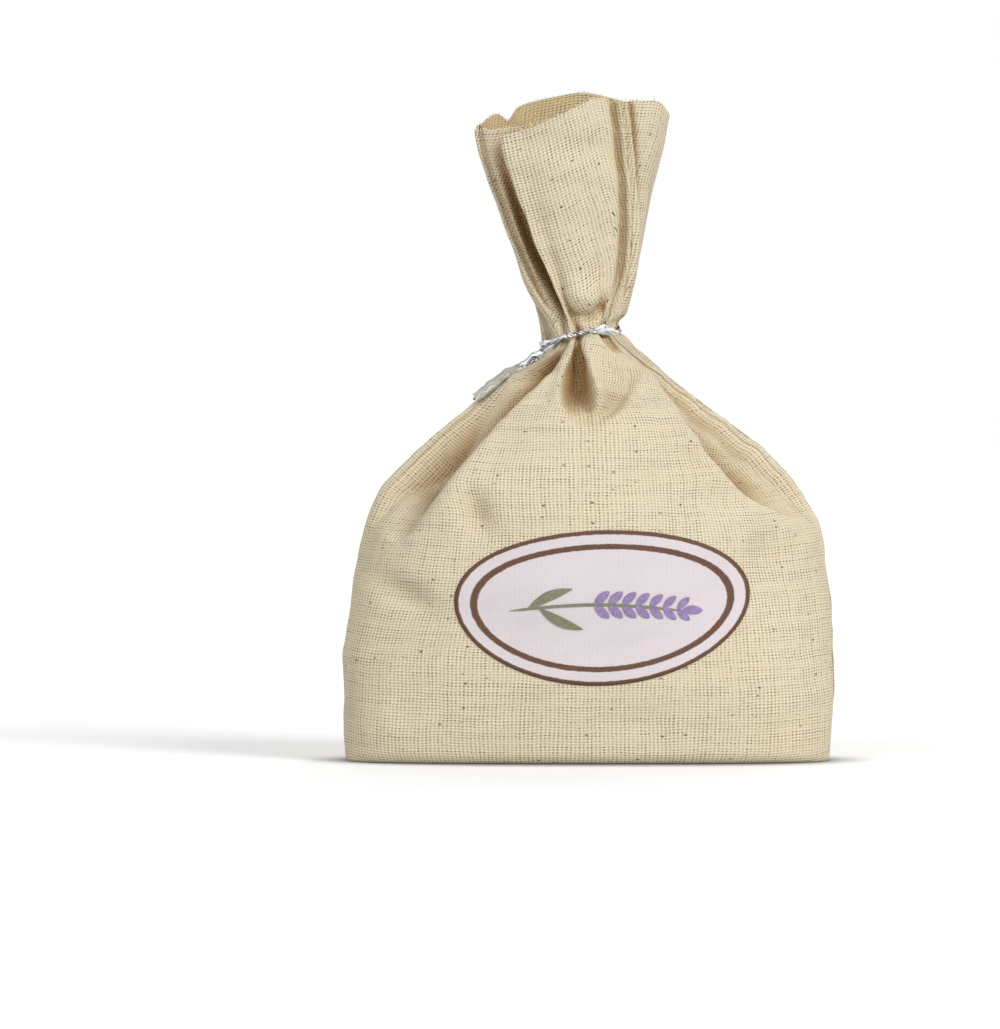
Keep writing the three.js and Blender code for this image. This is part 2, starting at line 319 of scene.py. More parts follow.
def capped_tubes(name: str, parts: list[np.ndarray]) -> Object:
    """Close stacks of rings into tubes with flat ends, all in one piece, with a map along and round each.

    Args:
        name: the piece's name.
        parts: grids of points, one ring per row.

    Returns:
        The linked object.
    """
    faces: list[list[int]] = []
    laid: list[np.ndarray] = []
    start = 0
    for rings in parts:
        rows, columns = rings.shape[:2]
        last = start + (rows - 1) * columns
        faces += (grid_faces(rows, columns, closed=True) + start).tolist()
        faces += [list(range(start + columns - 1, start - 1, -1)), list(range(last, last + columns))]
        start += rows * columns
        along = run_length(rings.mean(axis=1), 0)[:, None] + TUBE_SHIFT * len(laid)
        across = run_length(rings, 1)
        laid.append(np.stack([along + 0 * across, across], axis=-1).reshape(-1, 2))
    piece = make_object(name, np.concatenate([rings.reshape(-1, 3) for rings in parts]), faces)
    set_uv(piece, "strip", np.concatenate(laid))
    return piece


def thicken(piece: Object, name: str, thickness: float, offset: float) -> Modifier:
    """Give a surface a wall of so many millimetres: outwards for an offset of 1, inwards for -1."""
    wall = piece.modifiers.new(name, "SOLIDIFY")
    wall.thickness = thickness * MM
    wall.offset = offset
    return wall


def before_front(x: np.ndarray, z: np.ndarray, centre: tuple[float, float]) -> np.ndarray:
    """Points of a flat drawing round its centre, well in front of the cloth that it is pressed onto."""
    return np.stack([x + centre[0], np.full_like(x, PRESS_FROM), z + centre[1]], axis=-1)


def dress(piece: Object, body: Body, slot: Slot, finish: Material, *nodes: str) -> Object:
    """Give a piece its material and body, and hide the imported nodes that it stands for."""
    piece.data.materials.append(finish)
    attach(piece, body.value)
    if nodes:
        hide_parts(*nodes)
    return piece


# Materials


def linear(colour: str) -> tuple[float, float, float, float]:
    """Turn an sRGB hex colour such as #d8c9a6 into linear RGBA."""
    channels = [int(colour[i : i + 2], 16) / 255 for i in (1, 3, 5)]
    red, green, blue = (c / 12.92 if c <= 0.04045 else ((c + 0.055) / 1.055) ** 2.4 for c in channels)
    return red, green, blue, 1.0


def feed(tree: NodeTree, node: Node, inputs: dict[Any, Any]) -> None:
    """Set or link a node's inputs.

    Args:
        tree: the tree that holds the node.
        node: the node.
        inputs: by input name or number, a plain value, a node whose first live output is linked, or a
            pair of a node and the name of its output.
    """
    for key, value in inputs.items():
        socket = node.inputs[key]
        if isinstance(value, Node):
            tree.links.new(next(output for output in value.outputs if output.enabled), socket)
        elif isinstance(value, tuple) and isinstance(value[0], Node):
            tree.links.new(value[0].outputs[value[1]], socket)
        else:
            socket.default_value = value


def add_node(tree: NodeTree, kind: str, inputs: dict[Any, Any] | None = None, **settings: Any) -> Node:
    """Add one shader node with its settings and links.

    Args:
        tree: the tree that gets the node.
        kind: node type without its common beginning, such as Math.
        inputs: what goes into it, as feed takes it.
        settings: the node's own attributes.

    Returns:
        The new node.
    """
    node = tree.nodes.new("ShaderNode" + kind)
    for key, value in settings.items():
        setattr(node, key, value)
    feed(tree, node, inputs or {})
    return node


def start_material(name: str) -> tuple[Material, NodeTree, Node]:
    """Make an empty material: itself, its node tree and its main shader."""
    material = bpy.data.materials.new(name)
    material.use_nodes = True
    return material, material.node_tree, material.node_tree.nodes["Principled BSDF"]


SMOOTH = {"interpolation_type": "SMOOTHSTEP"}
COLOURS = {"data_type": "RGBA"}
TIMES = {"operation": "MULTIPLY"}
TIMES_PLUS = {"operation": "MULTIPLY_ADD"}
COSINE = {"operation": "COSINE"}
LARGER = {"operation": "MAXIMUM"}


def ease(low: float, high: float, start: float = 0.0, end: float = 1.0) -> dict[str, float]:
    """Inputs of a range node that eases from start at low to end at high."""
    return {"From Min": low, "From Max": high, "To Min": start, "To Max": end}


@dataclass(frozen=True)
class OpenWeaveCotton:
    """Unbleached cotton in an open plain weave: uneven threads, dark gaps between them, seed specks, and
    painted shade in the threads' hollows, the gaps and the folds.

    The threads are drawn at their real spacing on the cloth's own UV map, which is in millimetres.
    """

    name: str = "unbleached_cotton_open_weave"
    thread: str = "#f4ead4"
    # The hollow colour is painted shade in the threads' hollows and also tints random faded patches; the gap
    # colour is painted shade seen through the weave
    hollow: str = "#decfac"
    gap: str = "#755a33"
    speck: str = "#4e3a20"
    warp_pitch: float = 0.84
    weft_pitch: float = 0.58
    # Reach, strength and colour of the painted shade in folds
    nook: float = 14.0
    painted_shade_strength: float = 0.8
    painted_shade_colour: str = "#b48d48"
    stitch_inset: float = 2.4
    stitch_width: float = 0.38

    def build(self) -> Material:
        """Make the material: two sets of threads, gaps where both part, slubs, specks, sewing lines and
        painted shade in the folds.
        """
        material, tree, shader = start_material(self.name)
        add = partial(add_node, tree)
        place = add("UVMap", uv_map="cloth")
        split = add("SeparateXYZ", {0: place})
        # Threads wander over centimetres and flutter over a few threads
        sway = add("TexNoise", {"Vector": place, "Scale": 0.07, "Detail": 3.0})
        flutter = add("TexNoise", {"Vector": place, "Scale": 0.6, "Detail": 1.0})
        sway_v = add("SeparateXYZ", {0: (sway, "Color")})
        warp = add("Math", {0: sway, 1: 1.5, 2: (split, 0)}, **TIMES_PLUS)
        warp = add("Math", {0: warp, 1: self.warp_pitch}, operation="DIVIDE")
        weft = add("Math", {0: (sway_v, 1), 1: 1.5, 2: (split, 1)}, **TIMES_PLUS)
        weft = add("Math", {0: flutter, 1: 0.35, 2: weft}, **TIMES_PLUS)
        weft = add("Math", {0: weft, 1: self.weft_pitch}, operation="DIVIDE")
        # Waves that are 1 on the middle of a thread and -1 half way to the next one
        wave_u = add("Math", {0: add("Math", {0: warp, 1: math.tau}, **TIMES)}, **COSINE)
        wave_v = add("Math", {0: add("Math", {0: weft, 1: math.tau}, **TIMES)}, **COSINE)
        half_u = add("Math", {0: add("Math", {0: warp, 1: math.pi}, **TIMES)}, **COSINE)
        # Warp threads that a fold crowds together can't be told apart
        spaced = add("Attribute", attribute_name="spaced")
        wave_u = add("Math", {0: wave_u, 1: (spaced, "Fac")}, **TIMES)
        half_u = add("Math", {0: half_u, 1: (spaced, "Fac")}, **TIMES)
        half_v = add("Math", {0: add("Math", {0: weft, 1: math.pi}, **TIMES)}, **COSINE)
        # Over and under: the warp is on top at every other crossing, the weft at the rest
        over = add("Math", {0: half_u, 1: half_v}, **TIMES)
        both = add("Math", {0: wave_u, 1: wave_v}, operation="ADD")
        apart = add("Math", {0: wave_u, 1: wave_v}, operation="SUBTRACT")
        relief = add("Math", {0: over, 1: apart, 2: both}, **TIMES_PLUS)
        # A gap opens where neither thread covers; thick and thin threads close or widen it
        free_u = add("Math", {0: wave_u, 1: -0.5, 2: 0.5}, **TIMES_PLUS)
        free_v = add("Math", {0: wave_v, 1: -0.5, 2: 0.5}, **TIMES_PLUS)
        free = add("Math", {0: free_u, 1: free_v}, **TIMES)
        streak = add("Mapping", {"Vector": place, "Scale": (0.035, 1.1, 1.0)})
        slub = add("TexNoise", {"Vector": streak, "Scale": 1.0, "Detail": 3.0})
        upright = add("Mapping", {"Vector": place, "Scale": (0.9, 0.03, 1.0)})
        cord = add("TexNoise", {"Vector": upright, "Scale": 1.0, "Detail": 2.0})
        thick = add("Math", {0: slub, 1: 0.75, 2: add("Math", {0: cord, 1: 0.45}, **TIMES)}, **TIMES_PLUS)
        blot = add("TexNoise", {"Vector": place, "Scale": 0.8, "Detail": 3.0})
        thick = add("Math", {0: blot, 1: 0.5, 2: thick}, **TIMES_PLUS)
        closed = add("MapRange", {"Value": thick, **ease(0.645, 1.035, 0.36, 1.0)}, **SMOOTH)
        opened = add("Math", {0: free, 1: closed}, operation="SUBTRACT")
        gap = add("MapRange", {"Value": opened, **ease(0.0, 0.35)}, **SMOOTH)
        # Colour: pale on top of a thread, with painted shade in its hollows, and dark through the gaps,
        # painted shade of the bag's inside seen through them
        shade = add("MapRange", {"Value": relief, **ease(-1.0, 1.6, 1.0, 0.0)}, **SMOOTH)
        tone = add("Mix", {0: shade, 6: linear(self.thread), 7: linear(self.hollow)}, **COLOURS)
        patch = add("TexNoise", {"Vector": place, "Scale": 0.035, "Detail": 3.0})
        faded = add("MapRange", {"Value": patch, **ease(0.35, 0.65, 0.0, 0.22)}, **SMOOTH)
        tone = add("Mix", {0: faded, 6: tone, 7: linear(self.hollow)}, **COLOURS)
        dark = add("Math", {0: gap, 1: 0.85}, **TIMES)
        tone = add("Mix", {0: dark, 6: tone, 7: linear(self.gap)}, **COLOURS)
        flat_cells = add("Mapping", {"Vector": place, "Scale": (0.2, 0.32, 1.0)})
        seeds = add("TexVoronoi", {"Vector": flat_cells, "Scale": 1.0}, voronoi_dimensions="2D")
        chosen = add("SeparateXYZ", {0: (seeds, "Color")})
        near = add("MapRange", {"Value": (seeds, "Distance"), **ease(0.03, 0.10, 0.9, 0.0)}, **SMOOTH)
        rare = add("MapRange", {"Value": (chosen, 0), **ease(0.7, 1.0)}, **SMOOTH)
        speck = add("Math", {0: near, 1: rare}, **TIMES)
        tone = add("Mix", {0: speck, 6: tone, 7: linear(self.speck)}, **COLOURS)
        # Painted shade: ambient occlusion darkens and warms the colour in folds and hollows
        nook = add("AmbientOcclusion", {"Distance": self.nook * MM}, samples=8, only_local=True)
        deep = add("MapRange", {"Value": (nook, "AO"), **ease(0.38, 0.97, self.painted_shade_strength, 0.0)})
        tone = add("Mix", {0: deep, 6: tone, 7: linear(self.painted_shade_colour)}, blend_type="MULTIPLY", **COLOURS)
        # Sewing line beside each side seam
        from_seam = add("Attribute", attribute_name="from_seam")
        off = add("Math", {0: (from_seam, "Fac"), 1: self.stitch_inset}, operation="SUBTRACT")
        off = add("Math", {0: off}, operation="ABSOLUTE")
        line = add("MapRange", {"Value": off, **ease(0.08, self.stitch_width, 0.4, 0.0)}, **SMOOTH)
        line = add("Math", {0: line, 1: (add("Attribute", attribute_name="sewn"), "Fac")}, **TIMES)
        tone = add("Mix", {0: line, 6: tone, 7: linear(self.gap)}, **COLOURS)
        height = add("Math", {0: gap, 1: -1.2, 2: relief}, **TIMES_PLUS)
        height = add("Math", {0: line, 1: -3.0, 2: height}, **TIMES_PLUS)
        bump = add("Bump", {"Strength": 0.7, "Distance": 0.06 * MM, "Height": height})
        feed(tree, shader, {"Base Color": tone, "Roughness": 0.95, "Normal": bump, "Specular IOR Level": 0.2})
        return material


@dataclass(frozen=True)
class MottledFinish:
    """A plain finish with faint mottling of its colour, at a grain size in millimetres."""

    name: str
    colour: str
    darker: str
    grain: float
    roughness: float
    metallic: float = 0.0

    def build(self) -> Material:
        """Make the material on Object coordinates."""
        material, tree, shader = start_material(self.name)
        add = partial(add_node, tree)
        place = add("TexCoord")
        scale = 1.0 / (self.grain * MM)
        mottle = add("TexNoise", {"Vector": (place, "Object"), "Scale": scale, "Detail": 3.0})
        share = add("MapRange", {"Value": mottle, **ease(0.3, 0.7)}, **SMOOTH)
        tone = add("Mix", {0: share, 6: linear(self.colour), 7: linear(self.darker)}, **COLOURS)
        bump = add("Bump", {"Strength": 0.3, "Distance": 0.1 * MM, "Height": mottle})
        shine = {"Roughness": self.roughness, "Metallic": self.metallic}
        feed(tree, shader, {"Base Color": tone, "Normal": bump, **shine})
        return material


@dataclass(frozen=True)
class CrumpledFoil:
    """Metallised film, crumpled by hand: small mirror facets that meet in sharp creases."""

    name: str
    colour: str
    # folds is the colour of the painted dark reflections
    folds: str
    crease: float
    roughness: float
    metallic: float

    def build(self) -> Material:
        """Make the material: creases along the strip, spaced in millimetres, with painted dark reflections
        along the creases and in broad patches.
        """
        material, tree, shader = start_material(self.name)
        add = partial(add_node, tree)
        along = add("Mapping", {"Vector": add("UVMap", uv_map="strip"), "Scale": (0.35, 1.0, 1.0)})
        broad = add("TexNoise", {"Vector": along, "Scale": 0.7 / self.crease, "Detail": 2.0})
        crinkle = {"Scale": 1.6 / self.crease, "Detail": 1.0, "Distortion": 0.8}
        fine = add("TexNoise", {"Vector": along, **crinkle})
        ridge = add("Math", {0: add("Math", {0: fine, 1: 0.5}, operation="SUBTRACT")}, operation="ABSOLUTE")
        height = add("Math", {0: ridge, 1: 2.0, 2: broad}, **TIMES_PLUS)
        bump = add("Bump", {"Strength": 0.9, "Distance": 0.3 * MM, "Height": height})
        # Painted dark reflections: the colour darkens along the creases and in broad patches
        painted_crease_dark = add("MapRange", {"Value": ridge, **ease(0.0, 0.07, 0.8, 0.0)}, **SMOOTH)
        painted_dark_reflection = add("MapRange", {"Value": broad, **ease(0.40, 0.60, 0.0, 0.8)}, **SMOOTH)
        painted_dark_reflection = add("Math", {0: painted_crease_dark, 1: painted_dark_reflection}, **LARGER)
        tone = add("Mix", {0: painted_dark_reflection, 6: linear(self.colour), 7: linear(self.folds)}, **COLOURS)
        shine = {"Roughness": self.roughness, "Metallic": self.metallic}
        feed(tree, shader, {"Base Color": tone, "Normal": bump, **shine})
        return material


@dataclass(frozen=True)
class OvalPrint:
    """Matt transfer print on cloth: a pale field inside two dark lines, with the weave showing through.

    The border is read from the film's own UV map, which gives each point's distance from the edge.
    """

    name: str = "matt_transfer_print"
    field_colour: str = "#e3d9dc"
    line_colour: str = "#6a4c3d"
    weave_colour: str = "#b9a893"
    outer_line: float = 0.85
    inner_from: float = 2.75
    inner_to: float = 3.85
    soft: float = 0.12
    warp_pitch: float = 0.88
    weft_pitch: float = 0.60

    def build(self) -> Material:
        """Make the material: two lines at set distances from the edge, and a faint weave."""
        material, tree, shader = start_material(self.name)
        add = partial(add_node, tree)
        rim = add("SeparateXYZ", {0: add("UVMap", uv_map="border")})
        flat = add("UVMap", uv_map="cloth")
        split = add("SeparateXYZ", {0: flat})
        waver = add("TexNoise", {"Vector": flat, "Scale": 0.9, "Detail": 2.0})
        waver = add("MapRange", {"Value": waver, **ease(0.2, 0.8, -0.08, 0.08)})
        inset = add("Math", {0: (rim, 1), 1: waver}, operation="ADD")
        edges = ((self.outer_line, 1.0, 0.0), (self.inner_from, 0.0, 1.0), (self.inner_to, 1.0, 0.0))
        outer, start, end = (
            add("MapRange", {"Value": inset, **ease(at - self.soft, at + self.soft, before, past)}, **SMOOTH)
            for at, before, past in edges
        )
        line = add("Math", {0: outer, 1: add("Math", {0: start, 1: end}, **TIMES)}, **LARGER)
        across = add("Math", {0: (split, 0), 1: math.tau / self.warp_pitch}, **TIMES)
        up = add("Math", {0: (split, 1), 1: math.tau / self.weft_pitch}, **TIMES)
        across = add("Math", {0: across}, **COSINE)
        up = add("Math", {0: up}, **COSINE)
        threads = add("Math", {0: across, 1: up}, operation="MINIMUM")
        worn = add("TexNoise", {"Vector": flat, "Scale": 0.35, "Detail": 4.0})
        worn = add("MapRange", {"Value": worn, **ease(0.3, 0.75, 0.03, 0.2)}, **SMOOTH)
        showing = add("MapRange", {"Value": threads, **ease(-0.2, 1.0)}, **SMOOTH)
        showing = add("Math", {0: showing, 1: worn}, **TIMES)
        tone = add("Mix", {0: line, 6: linear(self.field_colour), 7: linear(self.line_colour)}, **COLOURS)
        tone = add("Mix", {0: showing, 6: tone, 7: linear(self.weave_colour)}, **COLOURS)
        bump = add("Bump", {"Strength": 0.25, "Distance": 0.06 * MM, "Height": threads})
        feed(tree, shader, {"Base Color": tone, "Roughness": 0.8, "Normal": bump, "Specular IOR Level": 0.3})
        return material


# Cloth


def grid_normals(points: np.ndarray) -> np.ndarray:
    """Outward unit normals of a grid that is closed across its columns.

    Args:
        points: grid of points, rows upwards, columns round from the right by the back.

    Returns:
        The cross product of the step across and the step upwards at each point.
    """
    across = np.roll(points, -1, axis=1) - np.roll(points, 1, axis=1)
    return unit(np.cross(across, np.gradient(points, axis=0)))


@dataclass(frozen=True)
class Pleat:
    """One pleat that runs from the gathered neck a short way down the pouch.

    Angles are degrees round the belly: 0 at the right seam, 90 at the back, 180 at the left seam and
    270 at the front. Depths are millimetres inwards; a negative one stands out as a ridge.
    """

    angle: float
    width: float
    foot: float
    deepest: float
    depth: float
    neck_depth: float

    def depth_at(self, angle: np.ndarray, height: np.ndarray, neck: float) -> np.ndarray:
        """Depth over the cloth: a bell across the pleat, eased in from its foot to its deepest point.

        Args:
            angle: degrees round the belly.
            height: heights in millimetres.
            neck: height where the neck's own depth holds.

        Returns:
            Millimetres inwards.
        """
        away = np.mod(angle - self.angle + 180.0, 360.0) - 180.0
        depth = self.depth * smoothstep(height, self.foot, self.deepest)
        depth = depth + (self.neck_depth - self.depth) * smoothstep(height, self.deepest, neck)
        return depth * np.exp(-((away / self.width) ** 2))


@dataclass(frozen=True)
class Crease:
    """One fold line on the front of the cloth, given as the eye sees it from the front.

    Each entry of line is x, height, depth and half width in millimetres; a negative depth is a ridge.
    Bias widens the side to the left of the line's direction and narrows the other one. A power above 2
    gives the fold a flat bottom between steep walls. Past its reach, in half widths, it has no depth.
    """

    line: tuple[tuple[float, float, float, float], ...]
    bias: float = 0.0
    power: float = 2.0
    steps: int = 160
    reach: float = 3.0

    def depth_at(self, x: np.ndarray, height: np.ndarray) -> np.ndarray:
        """Depth over the cloth: a bell across the nearest point of the smooth line.

        Args:
            x: where each point is across the front.
            height: how high it is.

        Returns:
            Millimetres inwards.
        """
        keys = np.array(self.line)
        chord = run_length(keys[:, :2], 0)
        fine = through(np.linspace(0.0, chord[-1], self.steps), chord, keys)
        reach = self.reach * keys[:, 3].max()
        low, high = fine[:, :2].min(axis=0) - reach, fine[:, :2].max(axis=0) + reach
        near = (x > low[0]) & (x < high[0]) & (height > low[1]) & (height < high[1])
        offset = np.stack([x[near], height[near]], axis=-1)[:, None] - fine[None, :, :2]
        nearest = np.argmin((offset**2).sum(axis=-1), axis=1)
        apart = offset[np.arange(len(offset)), nearest]
        ahead = np.gradient(fine[:, :2], axis=0)[nearest]
        left = np.sign(ahead[:, 0] * apart[:, 1] - ahead[:, 1] * apart[:, 0])
        width = fine[nearest, 3] * (1.0 + self.bias * left)
        depth = np.zeros(x.shape)
        depth[near] = fine[nearest, 2] * np.exp(-((np.linalg.norm(apart, axis=-1) / width) ** self.power))
        return depth


def fold_depth(creases: tuple[Crease, ...], points: np.ndarray) -> np.ndarray:
    """Depth of several creases together over a grid of points."""
    return sum(crease.depth_at(points[..., 0], points[..., 2]) for crease in creases)


@dataclass(frozen=True)
class Pouch:
    """The cotton bag: a filled pouch, a neck drawn in by the tie, and the loose cloth above it."""

    columns: int = 320
    base_rows: int = 8
    rim_rows: int = 6
    pouch_rows: int = 150
    neck_rows: int = 6
    ruffle_rows: int = 92
    neck_low: float = 86.4
    neck_high: float = 88.0
    gather_from: float = 77.0
    tilt: float = math.radians(12)
    tilt_reach: float = 9.0
    rim_radius: float = 2.5
    base_power: float = 3.1
    box_height: float = 34.0
    cloth: float = 0.25
    flat_width: float = 118.0
    flat_height: float = 156.0
    # Beside a side seam: the depth of the hollow, where the sewn groove is and how deep, and above the
    # tie the same of the turned edge's ridge and of the groove next to it
    hollow_depth: float = 1.4
    groove_at: float = 2.4
    groove_depth: float = 0.4
    ridge_at: float = 0.9
    ridge_height: float = 0.9
    beside_at: float = 1.95
    beside_depth: float = 0.65
    # The tie lets folds go this deep where it holds the neck
    held_depth: float = 0.6
    # Height, then the silhouette's half width, its middle and the half depth there
    stations: tuple[tuple[float, float, float, float], ...] = (
        (0.0, 49.6, -0.3, 19.4),
        (12.0, 50.0, -0.2, 21.4),
        (25.0, 49.8, 0.0, 22.2),
        (39.0, 48.3, 0.3, 22.0),
        (50.0, 45.7, 0.6, 20.8),
        (57.8, 41.5, 0.3, 19.0),
        (68.5, 29.2, 0.1, 15.4),
        (75.0, 21.2, -0.6, 12.4),
        (80.5, 14.2, -0.8, 9.8),
        (86.4, 8.05, -1.65, 8.0),
    )
    pleats: tuple[Pleat, ...] = (
        Pleat(angle=214, width=10, foot=80, deepest=85, depth=0.05, neck_depth=0.6),
        Pleat(angle=246, width=9, foot=76, deepest=84, depth=-0.3, neck_depth=-0.2),
        Pleat(angle=268, width=6, foot=80, deepest=85, depth=0.6, neck_depth=1.4),
        Pleat(angle=289, width=9, foot=76, deepest=84, depth=-0.3, neck_depth=-0.2),
        Pleat(angle=310, width=6, foot=80, deepest=85, depth=0.3, neck_depth=0.7),
        Pleat(angle=18, width=8, foot=50, deepest=68, depth=2.8, neck_depth=1.3),
        Pleat(angle=54, width=8, foot=56, deepest=74, depth=3.0, neck_depth=1.6),
        Pleat(angle=72, width=6, foot=66, deepest=80, depth=-1.2, neck_depth=-0.4),
        Pleat(angle=90, width=9, foot=48, deepest=72, depth=3.8, neck_depth=1.6),
        Pleat(angle=108, width=6, foot=62, deepest=78, depth=-1.0, neck_depth=-0.4),
        Pleat(angle=126, width=8, foot=60, deepest=76, depth=2.6, neck_depth=1.5),
        Pleat(angle=162, width=8, foot=46, deepest=68, depth=3.2, neck_depth=1.3),
    )
    creases: tuple[Crease, ...] = (
        # Narrow groove between the left seam's roll and the belly
        Crease(
            (
                (-4.7, 87.4, 3.4, 0.8), (-6.0, 85.0, 4.6, 1.0), (-8.2, 81.9, 4.8, 1.2),
                (-12.0, 78.2, 4.6, 1.6), (-15.8, 74.9, 4.6, 2.0), (-20.0, 71.2, 3.8, 2.5),
                (-24.2, 66.7, 1.8, 3.1), (-28.0, 62.0, 0.2, 3.4),
            ),
            bias=-0.15,
        ),
        # Valley that it opens into, steep where the belly stands over it
        Crease(
            (
                (-14.5, 74.4, 0.2, 3.0), (-20.5, 70.0, 3.8, 4.2), (-27.0, 64.2, 8.8, 5.2),
                (-32.6, 57.4, 9.8, 5.2), (-37.0, 51.0, 5.0, 5.2), (-40.5, 45.0, 0.3, 5.0),
            ),
            bias=-0.62,
        ),
        # Valley beside the right seam, the same way round
        Crease(
            (
                (8.6, 85.4, 0.3, 1.2), (12.8, 80.3, 1.4, 1.8), (16.9, 75.4, 3.2, 2.4),
                (22.9, 67.6, 6.6, 3.4), (29.0, 60.8, 8.6, 4.2), (35.6, 55.4, 6.0, 4.2),
                (41.0, 52.4, 2.8, 4.0), (44.5, 50.4, 0.2, 3.8),
            ),
            bias=0.6,
        ),
        # The belly's edge beside each valley
        Crease(
            (
                (-9.4, 78.4, -0.7, 1.5), (-16.4, 72.2, -1.3, 2.1), (-23.4, 63.2, -1.5, 2.8),
                (-28.6, 55.0, -0.9, 3.2), (-31.0, 48.0, -0.1, 3.4),
            ),
        ),
        Crease(
            (
                (10.8, 79.6, -0.5, 1.6), (15.0, 74.3, -0.9, 2.0), (20.6, 66.5, -1.2, 2.4),
                (26.6, 59.3, -1.0, 2.8), (32.6, 53.2, -0.1, 3.0),
            ),
        ),
        # Pocket under the middle of the tie, with a lip on each side
        Crease(
            (
                (-2.45, 85.6, 0.4, 0.45), (-2.45, 84.0, 2.2, 0.7), (-2.4, 81.3, 4.2, 1.5),
                (-2.6, 78.3, 5.0, 2.35), (-2.5, 75.8, 4.7, 2.8), (-2.1, 73.2, 3.2, 2.9),
                (-1.9, 70.8, 1.2, 2.4), (-1.9, 68.8, 0.1, 2.0),
            ),
            power=5.0,
        ),
        Crease(
            (
                (-4.6, 85.6, -0.2, 0.8), (-5.4, 81.0, -0.6, 1.0), (-6.2, 76.0, -0.6, 1.4),
                (-6.6, 71.0, -0.1, 1.8),
            ),
        ),
        Crease(
            (
                (-0.4, 85.0, -0.3, 0.9), (0.6, 80.0, -1.2, 1.3), (1.8, 75.2, -1.6, 1.6),
                (3.4, 71.8, -0.4, 1.8),
            ),
        ),
        # Under the right lobe, where it folds over the belly
        Crease(
            (
                (9.6, 80.6, 0.2, 1.6), (7.0, 75.6, 1.9, 2.0), (3.6, 71.8, 2.1, 2.0),
                (-1.6, 69.2, 0.2, 2.2),
            ),
            bias=-0.35,
        ),
        Crease(
            (
                (2.4, 87.6, 1.0, 0.5), (3.8, 86.0, 1.8, 0.65), (5.4, 84.6, 1.2, 0.7),
                (6.8, 83.4, 0.1, 0.7),
            ),
        ),
        # Soft lines on the belly
        Crease(((-46.3, 39.0, 0.3, 2.6), (-38.0, 34.4, 1.8, 3.0), (-28.5, 29.0, 0.1, 3.0))),
        Crease(((-24.4, 57.0, 0.1, 2.4), (-23.2, 51.5, 2.2, 2.6), (-20.8, 44.5, 0.1, 2.8))),
        Crease(((33.0, 52.0, 0.1, 3.5), (36.0, 44.0, 1.6, 4.0), (35.0, 36.0, 0.1, 4.0))),
    )
    # Folds of the loose cloth above the tie: the front roll's foot hangs over a curved crease
    ruffle_creases: tuple[Crease, ...] = (
        Crease(
            (
                (-3.6, 91.4, 0.4, 0.8), (-1.6, 90.4, 1.4, 1.0), (0.6, 90.8, 1.7, 1.0),
                (2.4, 92.6, 1.3, 0.8), (3.9, 95.4, 0.1, 0.7),
            ),
            bias=0.25,
        ),
        Crease(((-5.0, 99.0, -0.2, 2.6), (-1.4, 95.0, -1.3, 2.4), (3.2, 98.6, -0.2, 2.4))),
    )
    # Hollow between the roll and the strip of cloth at its left
    ruffle_hollows: tuple[Crease, ...] = (
        Crease(
            (
                (-3.0, 90.6, 1.0, 1.2), (-6.4, 97.6, 3.0, 1.6), (-9.2, 103.4, 4.2, 1.9),
                (-11.8, 108.4, 3.8, 1.9), (-14.6, 115.0, 2.2, 1.8), (-17.0, 121.0, 1.0, 1.7),
                (-18.6, 126.5, 0.2, 1.6),
            ),
        ),
    )
    # Degrees round the belly, and where the tie gathers that part of the cloth round the neck
    gather: tuple[tuple[float, float], ...] = (
        (0, -36), (180, 232), (214, 243), (246, 256), (270, 266), (289, 288), (310, 306),
        (331, 317), (360, 324),
    )
    # Cut edge of the cloth from the right seam round the back: share of the way round, then the point
    edge: tuple[tuple[float, float, float, float], ...] = (
        (0.00, 6.4, -7.6, 134.3),
        (0.06, 10.2, -6.2, 134.8),
        (0.115, 15.0, -3.2, 134.0),
        (0.14, 16.4, -0.4, 132.0),
        (0.17, 14.8, 3.2, 132.8),
        (0.24, 6.0, 6.2, 135.4),
        (0.30, 0.0, 7.8, 136.8),
        (0.36, -5.0, 7.8, 136.4),
        (0.41, -14.4, 7.0, 133.9),
        (0.44, -16.6, 4.8, 131.2),
        (0.47, -19.2, 3.4, 132.4),
        (0.50, -22.9, 0.4, 129.4),
        (0.53, -20.2, -3.0, 129.0),
        (0.56, -12.5, -2.6, 130.0),
        (0.61, 3.0, -2.8, 132.4),
        (0.645, -4.5, -5.4, 131.4),
        (0.685, -15.8, -6.7, 128.4),
        (0.71, -18.4, -9.2, 127.6),
        (0.76, -13.0, -11.2, 128.8),
        (0.84, -4.6, -12.2, 132.5),
        (0.92, 1.8, -10.8, 135.3),
    )

    def shares(self) -> np.ndarray:
        """Shares of the way round, from the right seam round the back, closer together near the seams."""
        even = np.arange(self.columns) / self.columns
        return even - 0.4 * np.sin(4 * math.pi * even) / (4 * math.pi)

